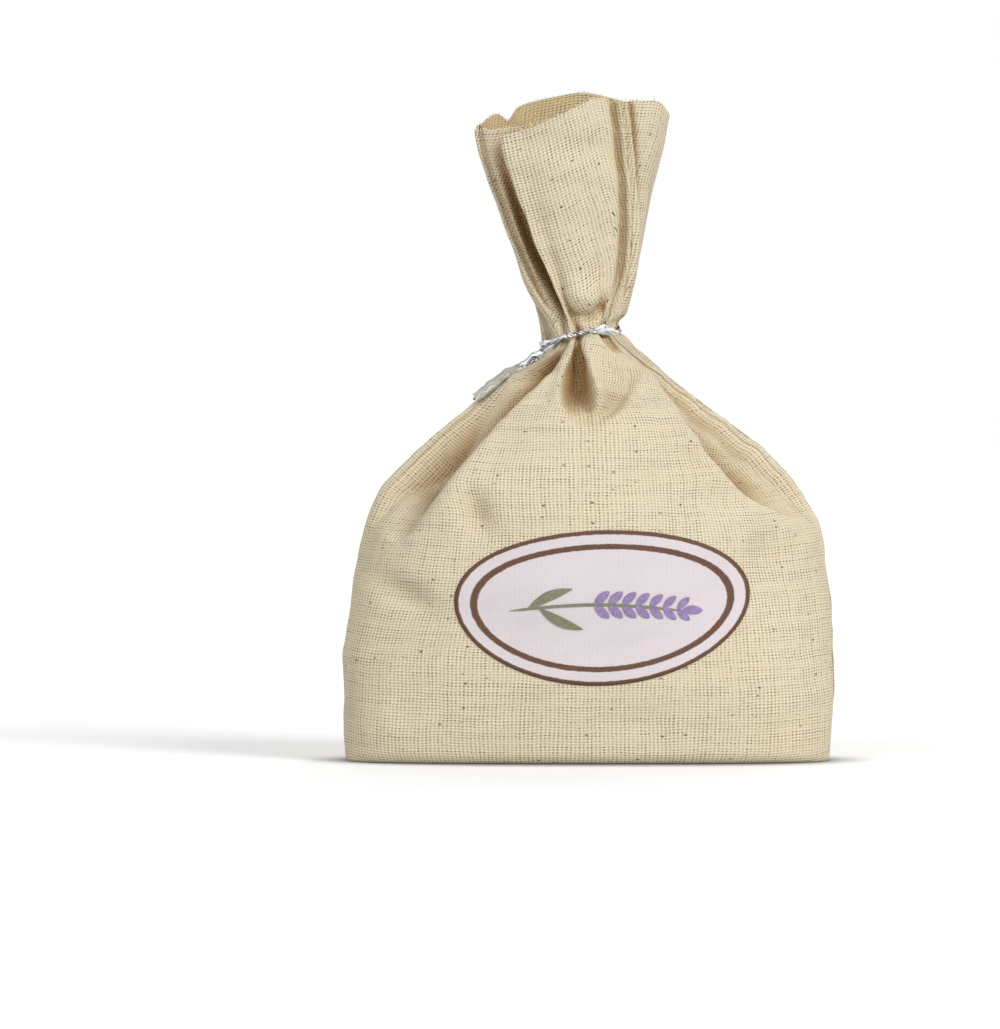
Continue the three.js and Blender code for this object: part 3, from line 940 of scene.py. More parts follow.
    def pouch_points(self, share: np.ndarray, height: np.ndarray) -> np.ndarray:
        """Surface of the pouch: ovals drawn in towards the neck, less the depth of every pleat.

        Near the base the ovals are boxier: cosine and sine are raised to the power 2 / n with n above 2.

        Args:
            share: shares of the way round.
            height: heights of the rows.

        Returns:
            Grid of points, one row per height.
        """
        table = np.array(self.stations)
        half_width, middle, half_depth = through(height, table[:, 0], table[:, 1:]).T[..., None]
        belly = 360.0 * share[None]
        keys = np.array(self.gather, dtype=float)
        gathered = np.interp(belly, keys[:, 0], keys[:, 1])
        drawn = smoothstep(height, self.gather_from, self.neck_low)[:, None]
        angle = np.radians(belly + (gathered - belly) * drawn)
        rim = np.clip(1.0 - height / self.rim_radius, 0.0, 1.0)[:, None]
        tuck = self.rim_radius * (1.0 - np.sqrt(1.0 - rim * rim))
        rounded = smoothstep(height, 0.0, self.box_height)[:, None]
        boxy = 2.0 / (self.base_power + (2.0 - self.base_power) * rounded)
        across = np.sign(np.cos(angle)) * np.abs(np.cos(angle)) ** boxy
        deep = np.sign(np.sin(angle)) * np.abs(np.sin(angle)) ** boxy
        normal = unit(np.stack([np.cos(angle) * half_depth, np.sin(angle) * half_width], axis=-1))
        depth = sum(pleat.depth_at(belly, height[:, None], self.neck_low) for pleat in self.pleats)
        x = (half_width - 0.12 * tuck) * across - depth * normal[..., 0]
        y = (half_depth - tuck) * deep - depth * normal[..., 1]
        below = smoothstep(height, self.neck_low - self.tilt_reach, self.neck_low)[:, None]
        z = height[:, None] + math.tan(self.tilt) * x * below
        return np.stack([middle + x, y, z], axis=-1)

    def base_points(self, rim: np.ndarray) -> np.ndarray:
        """Underside: each row is the rim drawn in towards the base seam on the middle line."""
        shrink = np.linspace(0.0, 1.0, self.base_rows, endpoint=False)[:, None]
        rows = np.repeat(rim[None], self.base_rows, axis=0)
        rows[..., 1] *= shrink
        rows[..., 2] = 0.35 * (1.0 - shrink)
        return rows

    def ruffle_points(self, share: np.ndarray, neck: np.ndarray) -> np.ndarray:
        """Loose cloth above the tie: the neck's ring opens out to the cut edge, and swells at both sides.

        Args:
            share: shares of the way round.
            neck: top ring of the neck.

        Returns:
            Grid of points above that ring.
        """
        table = np.array(self.edge)
        top = through_loop(share, table[:, 0], table[:, 1:])
        rise = np.linspace(0.0, 1.0, self.ruffle_rows + 1)[1:, None, None]
        points = neck[None] + (top - neck)[None] * rise * (1.2 - 0.2 * rise**2)
        points[..., 2] = (neck[None] + (top - neck)[None] * rise)[..., 2]
        rise = rise[..., 0]
        from_right = np.mod(share + 0.5, 1.0) - 0.5
        right = 1.4 * np.exp(-(((rise - 0.22) / 0.33) ** 2) - ((from_right - 0.07) / 0.17) ** 2)
        right = right + 2.4 * np.sin(math.pi * rise) * np.exp(-((from_right / 0.07) ** 2))
        left = 1.0 * np.exp(-(((rise - 0.25) / 0.18) ** 2) - ((share - 0.47) / 0.09) ** 2)
        left = left * smoothstep(rise, 0.04, 0.16)
        points[..., 0] += (right - left) * smoothstep(rise, 0.0, 0.045)
        return points

    def seam_profile(self, from_seam: np.ndarray, row: np.ndarray, left: np.ndarray) -> np.ndarray:
        """Depth beside a side seam: none on the seam, a hollow next to it, and a sewn groove between.

        Above the tie the turned edges stand out as a double ridge between two grooves.

        Args:
            from_seam: distance of each point from the nearer seam.
            row: each point's share of the way from the rim to the tie, above 1 in the loose cloth.
            left: 1 on the left shoulder, where the seam's groove closes towards the tie.

        Returns:
            Millimetres inwards.
        """
        hollow = self.hollow_depth * window(row, (0.35, 0.6), (0.66, 0.86))
        hollow = hollow * (1.0 - np.exp(-((from_seam / 2.2) ** 2))) * np.exp(-((from_seam / 7.0) ** 2))
        groove = self.groove_depth * np.exp(-((from_seam - self.groove_at) ** 2) / 0.4)
        groove = groove * smoothstep(row, 0.62, 0.8) * (1.0 - left * smoothstep(row, 0.82, 0.92))
        loose = smoothstep(row, 1.06, 1.2)
        ridge = self.ridge_height * loose * np.exp(-((from_seam - self.ridge_at) ** 2) / 0.25)
        beside = self.beside_depth * loose * np.exp(-((from_seam - self.beside_at) ** 2) / 0.2)
        return hollow + groove + beside - ridge

    def creased(self, points: np.ndarray, share: np.ndarray) -> np.ndarray:
        """Push the folds, the seams' edges and some unevenness into the smooth bag, along its normals.

        Args:
            points: the smooth grid.
            share: shares of the way round.

        Returns:
            The creased grid.
        """
        normals = grid_normals(points)
        first = self.base_rows
        tie = first + self.pouch_rows
        row = (np.arange(len(points))[:, None] - first) / self.pouch_rows
        run = run_length(np.concatenate([points, points[:, :1]], axis=1), 1)
        along, left, whole = run[:, :-1], run[:, self.columns // 2, None], run[:, -1:]
        from_seam = np.minimum(np.minimum(along, np.abs(along - left)), whole - along)
        facing = smoothstep(-normals[..., 1], 0.0, 0.35)
        x, z = points[..., 0], points[..., 2]
        depth = np.zeros(x.shape)
        clear = facing * smoothstep(from_seam, 1.0, 4.6)
        depth[first:tie] = fold_depth(self.creases, points[first:tie]) * clear[first:tie]
        roll = window(share, (0.70, 0.74), (0.95, 0.98))
        depth[tie:] = fold_depth(self.ruffle_creases, points[tie:]) * roll
        strip = window(share, (0.515, 0.54), (0.575, 0.605)) * facing[tie:]
        depth[tie:] += fold_depth(self.ruffle_hollows, points[tie:]) * strip
        depth += self.seam_profile(from_seam, row, smoothstep(-x, 3.0, 6.0))
        uneven = 0.5 * ripple(along, z, 26.0, 3) + 0.12 * ripple(along, z, 9.0, 5)
        depth += uneven * smoothstep(row, 0.02, 0.12) * (1.0 - 0.5 * smoothstep(row, 1.0, 1.1))
        depth[:first] = 0.0
        held = np.abs(np.arange(len(points)) - tie - self.neck_rows / 2)[:, None] < self.neck_rows / 2 + 1
        depth = np.where(held, np.clip(depth, 0.0, self.held_depth), depth)
        return points - normals * depth[..., None]

    def surface(self) -> tuple[np.ndarray, np.ndarray]:
        """Whole bag as one grid: rows from the base seam to the cut edge, columns from the right seam.

        Returns:
            The smooth grid and the same grid with its creases.
        """
        share = self.shares()
        low = np.linspace(0.0, 1.0, self.rim_rows + 1)[:-1] * self.rim_radius
        high = np.linspace(self.rim_radius, self.neck_low, self.pouch_rows - self.rim_rows)
        pouch = self.pouch_points(share, np.concatenate([low, high]))
        lift = np.linspace(0.0, self.neck_high - self.neck_low, self.neck_rows + 1)[1:, None, None]
        neck = pouch[-1][None] + lift * np.array([0.0, 0.0, 1.0])
        ruffle = self.ruffle_points(share, neck[-1])
        points = np.concatenate([self.base_points(pouch[0]), pouch, neck, ruffle])
        return points, self.creased(points, share)

    def cloth_map(self, smooth: np.ndarray, points: np.ndarray) -> tuple[np.ndarray, np.ndarray, np.ndarray]:
        """Lay a panel's grid out flat: millimetres along the cloth from its middle and from the rim.

        The cloth that the tie gathers is taken up beside the seams, so the threads run straight down the
        middle of the panel and along the seams, and close up between the two. Heights are measured square
        to the rows. Above the tie, which hides the join, they are counted down from the cut edge, since the
        cloth is cut along a thread.

        Args:
            smooth: the panel's grid without creases, for the heights.
            points: the panel's grid, for the lengths across.

        Returns:
            Flat coordinates, the distance of each point from the nearer side seam, and 1 where the threads
            are crowded together.
        """
        run = run_length(points, 1)
        from_middle = run - run[:, run.shape[1] // 2, None]
        from_seam = np.minimum(run, run[:, -1:] - run)
        reach = np.where(from_middle < 0, -from_middle[:, :1], from_middle[:, -1:])
        below_tie = (np.arange(len(points)) < self.base_rows + self.pouch_rows)[:, None]
        taken_up = np.maximum(reach.max(axis=0, keepdims=True) - reach, 0.0) * below_tie
        spread = np.minimum(taken_up, 0.25 * reach)
        side = np.sign(from_middle)
        inside = smoothstep(from_seam / np.maximum(reach, 1.0), 0.1, 0.9)
        from_middle = from_middle + side * spread * (1.0 - inside)
        from_middle = from_middle + side * (taken_up - spread) * (1.0 - smoothstep(from_seam, 5.2, 7.4))
        step = np.diff(smooth, axis=0)
        tangent = unit(np.gradient(smooth, axis=1)[1:])
        up = np.linalg.norm(step - (step * tangent).sum(axis=-1, keepdims=True) * tangent, axis=-1)
        climb = np.concatenate([np.zeros((1, points.shape[1])), np.cumsum(up, axis=0)])
        climb -= climb[self.base_rows]
        tie = self.base_rows + self.pouch_rows
        climb[tie:] += self.flat_height - climb[-1]
        crowded = smoothstep(np.gradient(from_middle, axis=1) / np.gradient(run, axis=1), 1.4, 3.0)
        return np.stack([from_middle, climb], axis=-1), from_seam, crowded

    def panel(
        self, name: str, smooth: np.ndarray, points: np.ndarray, finishes: tuple[Material, Material]
    ) -> Object:
        """Make one cloth panel from its part of the grid, with the cloth's thickness.

        Args:
            name: the piece's name.
            smooth: the panel's grid without creases.
            points: the panel's grid.
            finishes: the cloth's material outside and inside.

        Returns:
            The linked object.
        """
        rows, columns = points.shape[:2]
        piece = make_object(name, points, grid_faces(rows, columns, closed=False))
        flat, from_seam, crowded = self.cloth_map(smooth, points)
        set_uv(piece, "cloth", flat)
        x, z = points[..., 0], points[..., 2]
        # The tie's tails hide the sewing on the left shoulder
        hidden = smoothstep(-x, 3.0, 6.0) * window(z, (72.0, 78.0), (90.0, 94.0))
        sewn = smoothstep(z, 46.0, 64.0) * (1.0 - hidden)
        for label, values in (("from_seam", from_seam), ("sewn", sewn), ("spaced", 1.0 - crowded)):
            layer = piece.data.attributes.new(label, "FLOAT", "POINT")
            layer.data.foreach_set("value", values.astype(np.float32).ravel())
        for finish in finishes:
            piece.data.materials.append(finish)
        thicken(piece, "wall", self.cloth, -1.0).material_offset = 1
        return piece

    def build(
        self, smooth: np.ndarray, points: np.ndarray, cotton: tuple[Material, Material]
    ) -> tuple[Object, Object]:
        """Args:
            smooth: the bag's grid without creases.
            points: the bag's grid.
            cotton: the cloth's material outside and inside.

        Returns:
            The front and the back panel.
        """
        half = self.columns // 2
        back = self.panel("back_panel_cloth", smooth[:, : half + 1], points[:, : half + 1], cotton)
        wrapped = [np.concatenate([grid[:, half:], grid[:, :1]], axis=1) for grid in (smooth, points)]
        front = self.panel("front_panel_cloth", *wrapped, cotton)
        for piece, node in ((front, "front_panel"), (back, "back_panel")):
            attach(piece, Body.SACHET.value)
            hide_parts(node)
        return front, back


@dataclass(frozen=True)
class Seams:
    """Bound cloth edges inside the bag: a bead of overlocked thread up each side and along the base."""

    radius: float = 0.42
    reach: float = 2.2
    inset: float = 1.0
    deepest: float = 1.5
    stitch: float = 1.5
    rings_per_stitch: int = 5
    swell: float = 0.16
    sides: int = 10
    evened_rows: int = 3
    base_reach: float = 45.0
    base_steps: int = 60

    def bead(self, node: str, path: np.ndarray, finish: Material) -> Object:
        """Bead along a path, with thread that winds round it: the radius swells once per stitch and turn.

        Args:
            node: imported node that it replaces.
            path: path points.
            finish: its material.

        Returns:
            The linked object.
        """
        run = run_length(path, 0)
        even = np.linspace(0.0, run[-1], int(run[-1] / self.stitch * self.rings_per_stitch))
        path = np.stack([np.interp(even, run, path[:, k]) for k in range(3)], axis=1)
        along = unit(np.gradient(path, axis=0))
        across = unit(np.cross(along, BACKWARDS))
        up = np.cross(along, across)
        turn = np.linspace(0.0, math.tau, self.sides, endpoint=False)[None]
        wound = np.cos(turn - math.tau * even[:, None] / self.stitch)
        radius = self.radius * (1.0 + self.swell * wound)
        outline = np.stack([radius * np.cos(turn), radius * np.sin(turn)], axis=-1)
        piece = capped_tubes(f"{node}_bead", [sweep(path, across, up, outline)])
        return dress(piece, Body.SACHET, Slot.SEAM, finish, node)

    def side_path(self, wall: np.ndarray, column: int) -> np.ndarray:
        """Path inside a side seam: from the seam towards the middle between the walls a short reach away.

        Args:
            wall: the bag's grid above the base.
            column: the seam's column.

        Returns:
            Path points, evened out over a few rows.
        """
        turned = np.roll(wall, -column, axis=1)
        back = np.linalg.norm(turned - np.roll(turned, 1, axis=1), axis=-1)
        ahead = np.argmax(np.cumsum(back[:, 1:], axis=1) >= self.reach, axis=1) + 1
        other_way = np.concatenate([back[:, :1], back[:, :0:-1]], axis=1)
        behind = np.argmax(np.cumsum(other_way, axis=1) >= self.reach, axis=1) + 1
        rows = np.arange(len(wall))
        seam = turned[:, 0]
        inwards = (turned[rows, ahead] + turned[rows, -behind]) / 2 - seam - grid_normals(turned)[:, 0]
        length = np.linalg.norm(inwards, axis=1, keepdims=True)
        path = seam + inwards / length * np.clip(length, self.inset, self.deepest)
        padded = np.concatenate([path[:1]] * self.evened_rows + [path] + [path[-1:]] * self.evened_rows)
        return np.mean([padded[k : k + len(path)] for k in range(2 * self.evened_rows + 1)], axis=0)

    def build(self, pouch: Pouch, points: np.ndarray, finish: Material) -> list[Object]:
        """Make the three beads just inside the bag's edges.

        Args:
            pouch: the bag that they hold together.
            points: the bag's grid.
            finish: their material.

        Returns:
            The beads.
        """
        wall = points[pouch.base_rows + pouch.rim_rows :]
        beads = []
        for node, column in (("right_seam", 0), ("left_seam", pouch.columns // 2)):
            beads.append(self.bead(node, self.side_path(wall, column), finish))
        reach = np.linspace(-self.base_reach, self.base_reach, self.base_steps)
        level = np.full_like(reach, self.inset + self.radius)
        beads.append(self.bead("base_seam", np.stack([reach, np.zeros_like(reach), level], axis=-1), finish))
        return beads


@dataclass(frozen=True)
class Flowers:
    """Dried lavender that fills the pouch: small closed buds packed against the inside of the cloth."""

    buds: int = 1500
    length: float = 5.2
    girth: float = 1.9
    inset: float = 0.80
    flatter: float = 0.14
    deepest: float = 0.35
    clear_share: float = 0.7
    middle_height: float = 30.0
    seed: int = 7
    rows: int = 6
    sides: int = 6

    def room(self, spots: np.ndarray, points: np.ndarray) -> np.ndarray:
        """Distance of each spot from the nearest point of the cloth, below 0 outside the bag.

        Args:
            spots: places for buds.
            points: the bag's grid.

        Returns:
            Millimetres, one per spot.
        """
        normals = grid_normals(points).reshape(-1, 3)
        cloth = points.reshape(-1, 3)
        tree = KDTree(len(cloth))
        for index, point in enumerate(cloth):
            tree.insert(point, index)
        tree.balance()
        nearest = np.array([tree.find(spot)[1] for spot in spots])
        away = cloth[nearest] - spots
        return np.sign((away * normals[nearest]).sum(axis=-1)) * np.linalg.norm(away, axis=-1)

    def build(self, pouch: Pouch, points: np.ndarray, finish: Material) -> Object:
        """Scatter buds over a surface inset from the cloth, each a spindle turned its own way.

        Args:
            pouch: the bag that holds them.
            points: the bag's grid.
            finish: their material.

        Returns:
            The linked object.
        """
        rng = np.random.default_rng(self.seed)
        wall = points[pouch.base_rows : pouch.base_rows + pouch.pouch_rows * 3 // 4]
        axis = wall.mean(axis=1, keepdims=True)
        inner = axis + (wall - axis) * np.array([self.inset, self.inset - self.flatter, 1.0])
        inner[..., 2] = np.clip(inner[..., 2], self.length, None)
        drawn = 2 * self.buds
        spots = inner.reshape(-1, 3)[rng.choice(inner.size // 3, drawn, replace=False)]
        deep = rng.uniform(0.0, 1.0, (drawn, 1)) ** 2 * self.deepest
        spots = spots + (np.array([0.0, 0.0, self.middle_height]) - spots) * deep
        spots = spots[self.room(spots, points) > self.clear_share * self.length][: self.buds]
        count = len(spots)
        lengthways = np.linspace(-1.0, 1.0, self.rows)[:, None]
        turn = np.linspace(0.0, math.tau, self.sides, endpoint=False)[None]
        bulge = np.sqrt(1.04 - lengthways**2) * self.girth / 2
        along = lengthways * self.length / 2 + 0 * turn
        bud = np.stack([bulge * np.cos(turn), bulge * np.sin(turn), along], axis=-1)
        axes = np.linalg.qr(rng.normal(size=(count, 3, 3)))[0]
        axes[..., 2] *= np.linalg.det(axes)[:, None]
        grown = rng.uniform(0.75, 1.15, (count, 1, 1, 1))
        cloud = np.einsum("rsk,bjk->brsj", bud, axes) * grown + spots[:, None, None]
        step = self.rows * self.sides
        starts = step * np.arange(count)[:, None]
        sides = grid_faces(self.rows, self.sides, closed=True)
        every = (sides[None] + starts[..., None]).reshape(-1, 4).tolist()
        every += (starts + np.arange(self.sides)[::-1]).tolist()
        every += (starts + step - self.sides + np.arange(self.sides)).tolist()
        piece = make_object("lavender_buds", cloud, every)
        return dress(piece, Body.SACHET, Slot.FLOWERS, finish, "lavender_fill")


@dataclass(frozen=True)
class OvalLabel:
    """Thin printed oval on the front of the pouch."""

    half_width: float = 30.0
    half_height: float = 15.7
    centre: tuple[float, float] = (2.5, 31.8)
    tilt: float = 0.85
    bow: float = 2.05
    film: float = 0.12
    lift: float = 0.18
    rings: int = 26
    steps: int = 160

    def build(self, front: Object, finish: Material) -> Object:
        """Lay the oval on the cloth: rings inset from the edge by equal steps, pressed onto the panel.

        Its long axis rises to the right by the tilt, and both its ends by the bow, on a parabola.

        Args:
            front: the panel that it lies on.
            finish: its material.

        Returns:
            The linked object.
        """
        share = np.linspace(0.0, 1.0, self.rings)[:, None]
        turn = np.linspace(0.0, math.tau, self.steps, endpoint=False)[None]
        inset = share * (self.half_height - 0.05)
        stretch = 1.0 + share * (self.half_width / self.half_height - 1.0)
        x = (self.half_width - inset * stretch) * np.cos(turn)
        z = (self.half_height - inset) * np.sin(turn)
        along = x / self.half_width
        z = z + self.tilt * along + self.bow * along**2
        points = before_front(x, z, self.centre)
        faces = grid_faces(self.rings, self.steps, closed=True)[:, ::-1].tolist()
        faces.append(list(range((self.rings - 1) * self.steps, self.rings * self.steps))[::-1])
        piece = make_object("oval_label_print", points, faces)
        press_onto(piece, front, self.lift)
        set_uv(piece, "border", np.stack([turn + 0 * share, inset + 0 * turn], axis=-1))
        set_uv(piece, "cloth", np.stack([x, z], axis=-1))
        thicken(piece, "film", self.film, 1.0)
        return dress(piece, Body.SACHET, Slot.PRINT, finish, "oval_label")


@dataclass(frozen=True)
class LabelSprig:
    """Small plain flower sprig printed in the middle of the label: a stem, two leaves and paired buds."""

    centre: tuple[float, float] = (2.5, 32.1)
    stem_length: float = 38.0
    stem_width: float = 0.6
    leaf: tuple[float, float] = (10.0, 2.0)
    bud: tuple[float, float] = (4.0, 1.8)
    whorls: int = 7
    patch_rows: int = 13
    ink: float = 0.03
    lift: float = 0.34

    def patch(
        self, start: np.ndarray, heading: float, size: tuple[float, float], bend: float, blunt: float
    ) -> np.ndarray:
        """Flat spindle from a start point: its width is a power of a half sine wave along it.

        Args:
            start: where it grows from.
            heading: its direction in radians.
            size: its length and width.
            bend: how far its middle bows to the left.
            blunt: power of the half sine; smaller is blunter.

        Returns:
            Grid of flat points, three across.
        """
        share = np.linspace(0.0, 1.0, self.patch_rows)
        half = size[1] / 2 * np.maximum(np.sin(share * math.pi) ** blunt, 0.06)
        along = np.stack([share * size[0], bend * np.sin(share * math.pi)], axis=-1)[:, None]
        across = np.array([-1.0, 0.0, 1.0])[None, :, None] * half[:, None, None] * np.array([0.0, 1.0])
        flat = along + across
        turn = np.array([[math.cos(heading), math.sin(heading)], [-math.sin(heading), math.cos(heading)]])
        return flat @ turn + start

    def stem_at(self, share: float) -> np.ndarray:
        """Point on the stem, which bows gently upwards."""
        return np.array([(share - 0.5) * self.stem_length, 1.3 * math.sin(share * math.pi) - 0.9])

    def printed(self, name: str, patches: list[np.ndarray], front: Object, ink: Material) -> Object:
        """Press flat patches onto the front panel, over the label's film.

        Args:
            name: the piece's name.
            patches: flat grids, three points across.
            front: the panel that carries the label.
            ink: their material.

        Returns:
            The linked object.
        """
        flat = np.stack(patches)
        count, rows, columns = flat.shape[:3]
        points = before_front(flat[..., 0], flat[..., 1], self.centre)
        starts = rows * columns * np.arange(count)[:, None, None]
        faces = (grid_faces(rows, columns, closed=False)[None] + starts).reshape(-1, 4)
        piece = make_object(name, points, faces[:, ::-1], smooth=False)
        press_onto(piece, front, self.lift)
        thicken(piece, "ink", self.ink, 1.0)
        return dress(piece, Body.SACHET, Slot.PRINT, ink)

    def build(self, front: Object, stem_ink: Material, bud_ink: Material) -> list[Object]:
        """Draw the stem and leaves in one ink and the buds in another.

        Args:
            front: the panel that carries the label.
            stem_ink: material of the stem and leaves.
            bud_ink: material of the buds.

        Returns:
            The two pieces.
        """
        green = [self.patch(self.stem_at(0.0), 0.0, (self.stem_length * 0.94, self.stem_width), 1.3, 0.15)]
        for share, heading, bend in ((0.10, 0.42, 0.6), (0.16, -0.45, -0.6)):
            green.append(self.patch(self.stem_at(share), heading, self.leaf, bend, 0.8))
        buds = [self.patch(self.stem_at(0.93), -0.05, self.bud, 0.0, 0.6)]
        for share in np.linspace(0.46, 0.90, self.whorls):
            size = tuple(side * (1.15 - 0.35 * share) for side in self.bud)
            for sign in (-1.0, 1.0):
                buds.append(self.patch(self.stem_at(share), sign * 0.75, size, sign * 0.1, 0.6))
        return [
            self.printed("label_sprig_stem", green, front, stem_ink),
            self.printed("label_sprig_buds", buds, front, bud_ink),
        ]


@dataclass(frozen=True)
class CutEdge:
    """Loose thread ends along the cut edge of the cloth."""

    threads: int = 420
    radius: float = 0.10
    rooted: float = 0.5
    steps: int = 4
    sides: int = 4
    seed: int = 11

    def build(self, points: np.ndarray, finish: Material) -> Object:
        """Grow short threads from the edge: straight on from the cloth, leaning towards their tips.

        Args:
            points: the bag's grid.
            finish: their material.

        Returns:
            The linked object.
        """
        rng = np.random.default_rng(self.seed)
        spot = rng.integers(0, points.shape[1], self.threads)
        up = unit(points[-1] - points[-4])[spot]
        side = unit(np.roll(points[-1], -1, axis=0) - np.roll(points[-1], 1, axis=0))[spot]
        out = np.cross(side, up)
        length = rng.uniform(0.1, 0.55, self.threads) * np.where(rng.random(self.threads) < 0.03, 3.0, 1.0)
        lean = side * rng.normal(0.0, 0.4, (self.threads, 1)) + out * rng.normal(0.0, 0.3, (self.threads, 1))
        share = np.linspace(0.0, 1.0, self.steps)[None, :, None]
        root = (points[-1][spot] - up * self.rooted - out * 0.25)[:, None]
        grown = (up[:, None] * share + lean[:, None] * share**2) * length[:, None, None]
        middle = root + up[:, None] * self.rooted * share + grown
        turn = np.linspace(0.0, math.tau, self.sides, endpoint=False)[None, None, :, None]
        girth = self.radius * (1.0 - 0.6 * share)[..., None]
        outward = np.cos(turn) * side[:, None, None] + np.sin(turn) * out[:, None, None]
        rings = middle[:, :, None] + girth * outward
        return dress(capped_tubes("cut_edge_threads", list(rings)), Body.SACHET, Slot.COTTON, finish)


@dataclass(frozen=True)
class TwistTie:
    """Silver strip round the neck, its ends twisted together at the left and laid down the shoulder.

    Turn angles are degrees round the neck: 0 at the right, 90 at the back, 180 at the left, 270 in front.
    """

    centre: np.ndarray
    axis: np.ndarray
    hinge: np.ndarray
    settle: tuple[float, float, float] = (-0.65, 0.0, -0.6)
    loop_radius: float = 8.35
    strip: float = 2.8
    film: float = 0.24
    core: float = 0.62
    sag: float = 1.4
    strand: float = 0.31
    lay: float = 0.25
    turn_length: float = 15.0
    sides: int = 12
    tail_length: float = 11.4
    tail_width: float = 2.7
    tail_roll: float = 0.75
    tail_rest: float = 1.8
    twist_side: float = -1.5
    wire_girth: float = 0.4
    # Where round the neck the band, the rope across the front and the folds at the left front run
    band_span: tuple[float, float] = (284.0, 562.0)
    rope_span: tuple[float, float] = (250.0, 294.0)
    fan_span: tuple[float, float] = (174.0, 258.0)
    wire_span: tuple[float, float] = (176.0, 536.0)
    lens_span: float = 58.0

    def ring(
        self, degrees: np.ndarray, out: np.ndarray, along: np.ndarray
    ) -> tuple[np.ndarray, np.ndarray, np.ndarray]:
        """Path round the neck, which sags a little at both sides.

        Args:
            degrees: turn angles.
            out: how far each point stands outside the loop's radius.
            along: how far it stands above the loop's plane.

        Returns:
            Points, outward directions and the loop's axis at each point.
        """
        turn = np.radians(degrees)
        side = np.cross(BACKWARDS, self.axis)
        outward = np.cos(turn)[:, None] * side + np.sin(turn)[:, None] * BACKWARDS
        level = along - self.sag * smoothstep(np.abs(np.cos(turn)), 0.3, 1.0)
        middle = self.centre + self.settle
        points = middle + outward * (self.loop_radius + out)[:, None] + self.axis * level[:, None]
        return points, outward, np.repeat(self.axis[None], len(turn), axis=0)

    def strip_outline(self, width: np.ndarray, core: np.ndarray, roll: np.ndarray) -> np.ndarray:
        """Outlines of a flat film with a wire down its middle, each turned by its roll angle.

        Args:
            width: full widths.
            core: thickness over the wire.
            roll: turn of each outline in radians.

        Returns:
            Outlines of shape (steps, sides, 2).
        """
        turn = np.linspace(0.0, math.tau, self.sides, endpoint=False)[None]
        u = width[:, None] / 2 * np.sign(np.cos(turn)) * np.abs(np.cos(turn)) ** 0.7
        half = (self.film + (core[:, None] - self.film) * np.exp(-((u / 0.45) ** 2))) / 2
        v = half * np.sign(np.sin(turn)) * np.abs(np.sin(turn)) ** 0.6
        cos, sin = np.cos(roll)[:, None], np.sin(roll)[:, None]
        return np.stack([u * cos - v * sin, u * sin + v * cos], axis=-1)

    def band(self) -> np.ndarray:
        """Strip round the right and the back: a narrow lens beside the rope, then flat and crumpled."""
        degrees = np.linspace(*self.band_span, 220)
        waver = 0.08 * np.sin(degrees / 5.0) + 0.05 * np.sin(degrees / 2.3)
        path, outward, axis = self.ring(degrees, waver, 0.12 * np.sin(degrees / 6.0))
        lens = np.sin(np.clip((degrees - self.band_span[0]) / self.lens_span, 0.0, 1.0) * math.pi) ** 2
        flat = window(degrees, (338.0, 368.0), (520.0, 558.0))
        width = 0.9 + 1.5 * lens + (self.strip - 0.9) * flat
        width = width * (1.0 + 0.05 * np.sin(degrees / 3.0))
        roll = 0.16 * np.sin(degrees / 6.0) + 0.08 * np.sin(degrees / 2.7)
        return sweep(path, axis, outward, self.strip_outline(width, np.full_like(degrees, self.core), roll))

    def loop_core(self) -> np.ndarray:
        """Wire inside the loop, all the way round."""
        degrees = np.linspace(*self.wire_span, 200)
        level = np.zeros_like(degrees)
        path, outward, axis = self.ring(degrees, level, level)
        size = np.full_like(degrees, self.wire_girth)
        return sweep(path, axis, outward, self.strip_outline(size, size, level))

    def rope(self, phase: float) -> np.ndarray:
        """One of the two strands wound round the wire across the front: a helix on the loop."""
        degrees = np.linspace(*self.rope_span, 130)
        wind = np.radians((degrees - self.rope_span[0]) / self.turn_length * 360.0) + phase
        path, outward, axis = self.ring(degrees, self.lay * np.sin(wind), self.lay * np.cos(wind))
        size = np.full_like(degrees, 2 * self.strand)
        return sweep(path, axis, outward, self.strip_outline(size, size, wind))

    def fan(self, drop: float, phase: float) -> np.ndarray:
        """One strand at the left front, where the strip's folds spread from the rope towards the twist."""
        degrees = np.linspace(*self.fan_span, 80)
        spread = 1.0 - smoothstep(degrees, 192.0, 256.0)
        along = drop * spread + 0.1 * np.sin(degrees / 4.0 + phase)
        path, outward, axis = self.ring(degrees, 0.12 * np.sin(degrees / 5.0 + phase), along)
        roll = 0.5 * np.sin(degrees / 9.0 + phase)
        width = 0.7 + 0.6 * spread
        return sweep(path, axis, outward, self.strip_outline(width, np.full_like(degrees, 0.5), roll))

    def slope(self) -> tuple[np.ndarray, np.ndarray]:
        """Direction down the shoulder from the loop to the tails' hinge, and the one that lifts off it."""
        start = self.centre - np.cross(BACKWARDS, self.axis) * (self.loop_radius + 0.6)
        down = self.hinge - start
        down[1] = 0.0
        down = unit(down)
        return down, np.array([down[2], 0.0, -down[0]])

    def twist(self, phase: float) -> np.ndarray:
        """One of the two crumpled strips between the loop and the tails, half turned round the other."""
        down, lift = self.slope()
        share = np.linspace(-1.12, 0.06, 50)
        rise = 0.15 * np.sin(share * 9.0 + phase) - 2.0 + 0.45 * share
        path = self.hinge + down * (share * 5.2)[:, None] + lift * rise[:, None]
        path[:, 1] = self.twist_side - 0.4 * np.cos(phase) + 0.2 * np.sin(share * 7.0 + phase)
        roll = phase - self.tail_roll + 0.7 * share + 0.2 * np.sin(share * 11.0)
        width = 1.85 + 0.2 * np.sin(share * 6.0 + phase)
        outline = self.strip_outline(width, np.full_like(share, 0.5), roll)
        front = np.repeat(-BACKWARDS[None], len(share), axis=0)
        return sweep(path, front, np.repeat(lift[None], len(share), axis=0), outline)

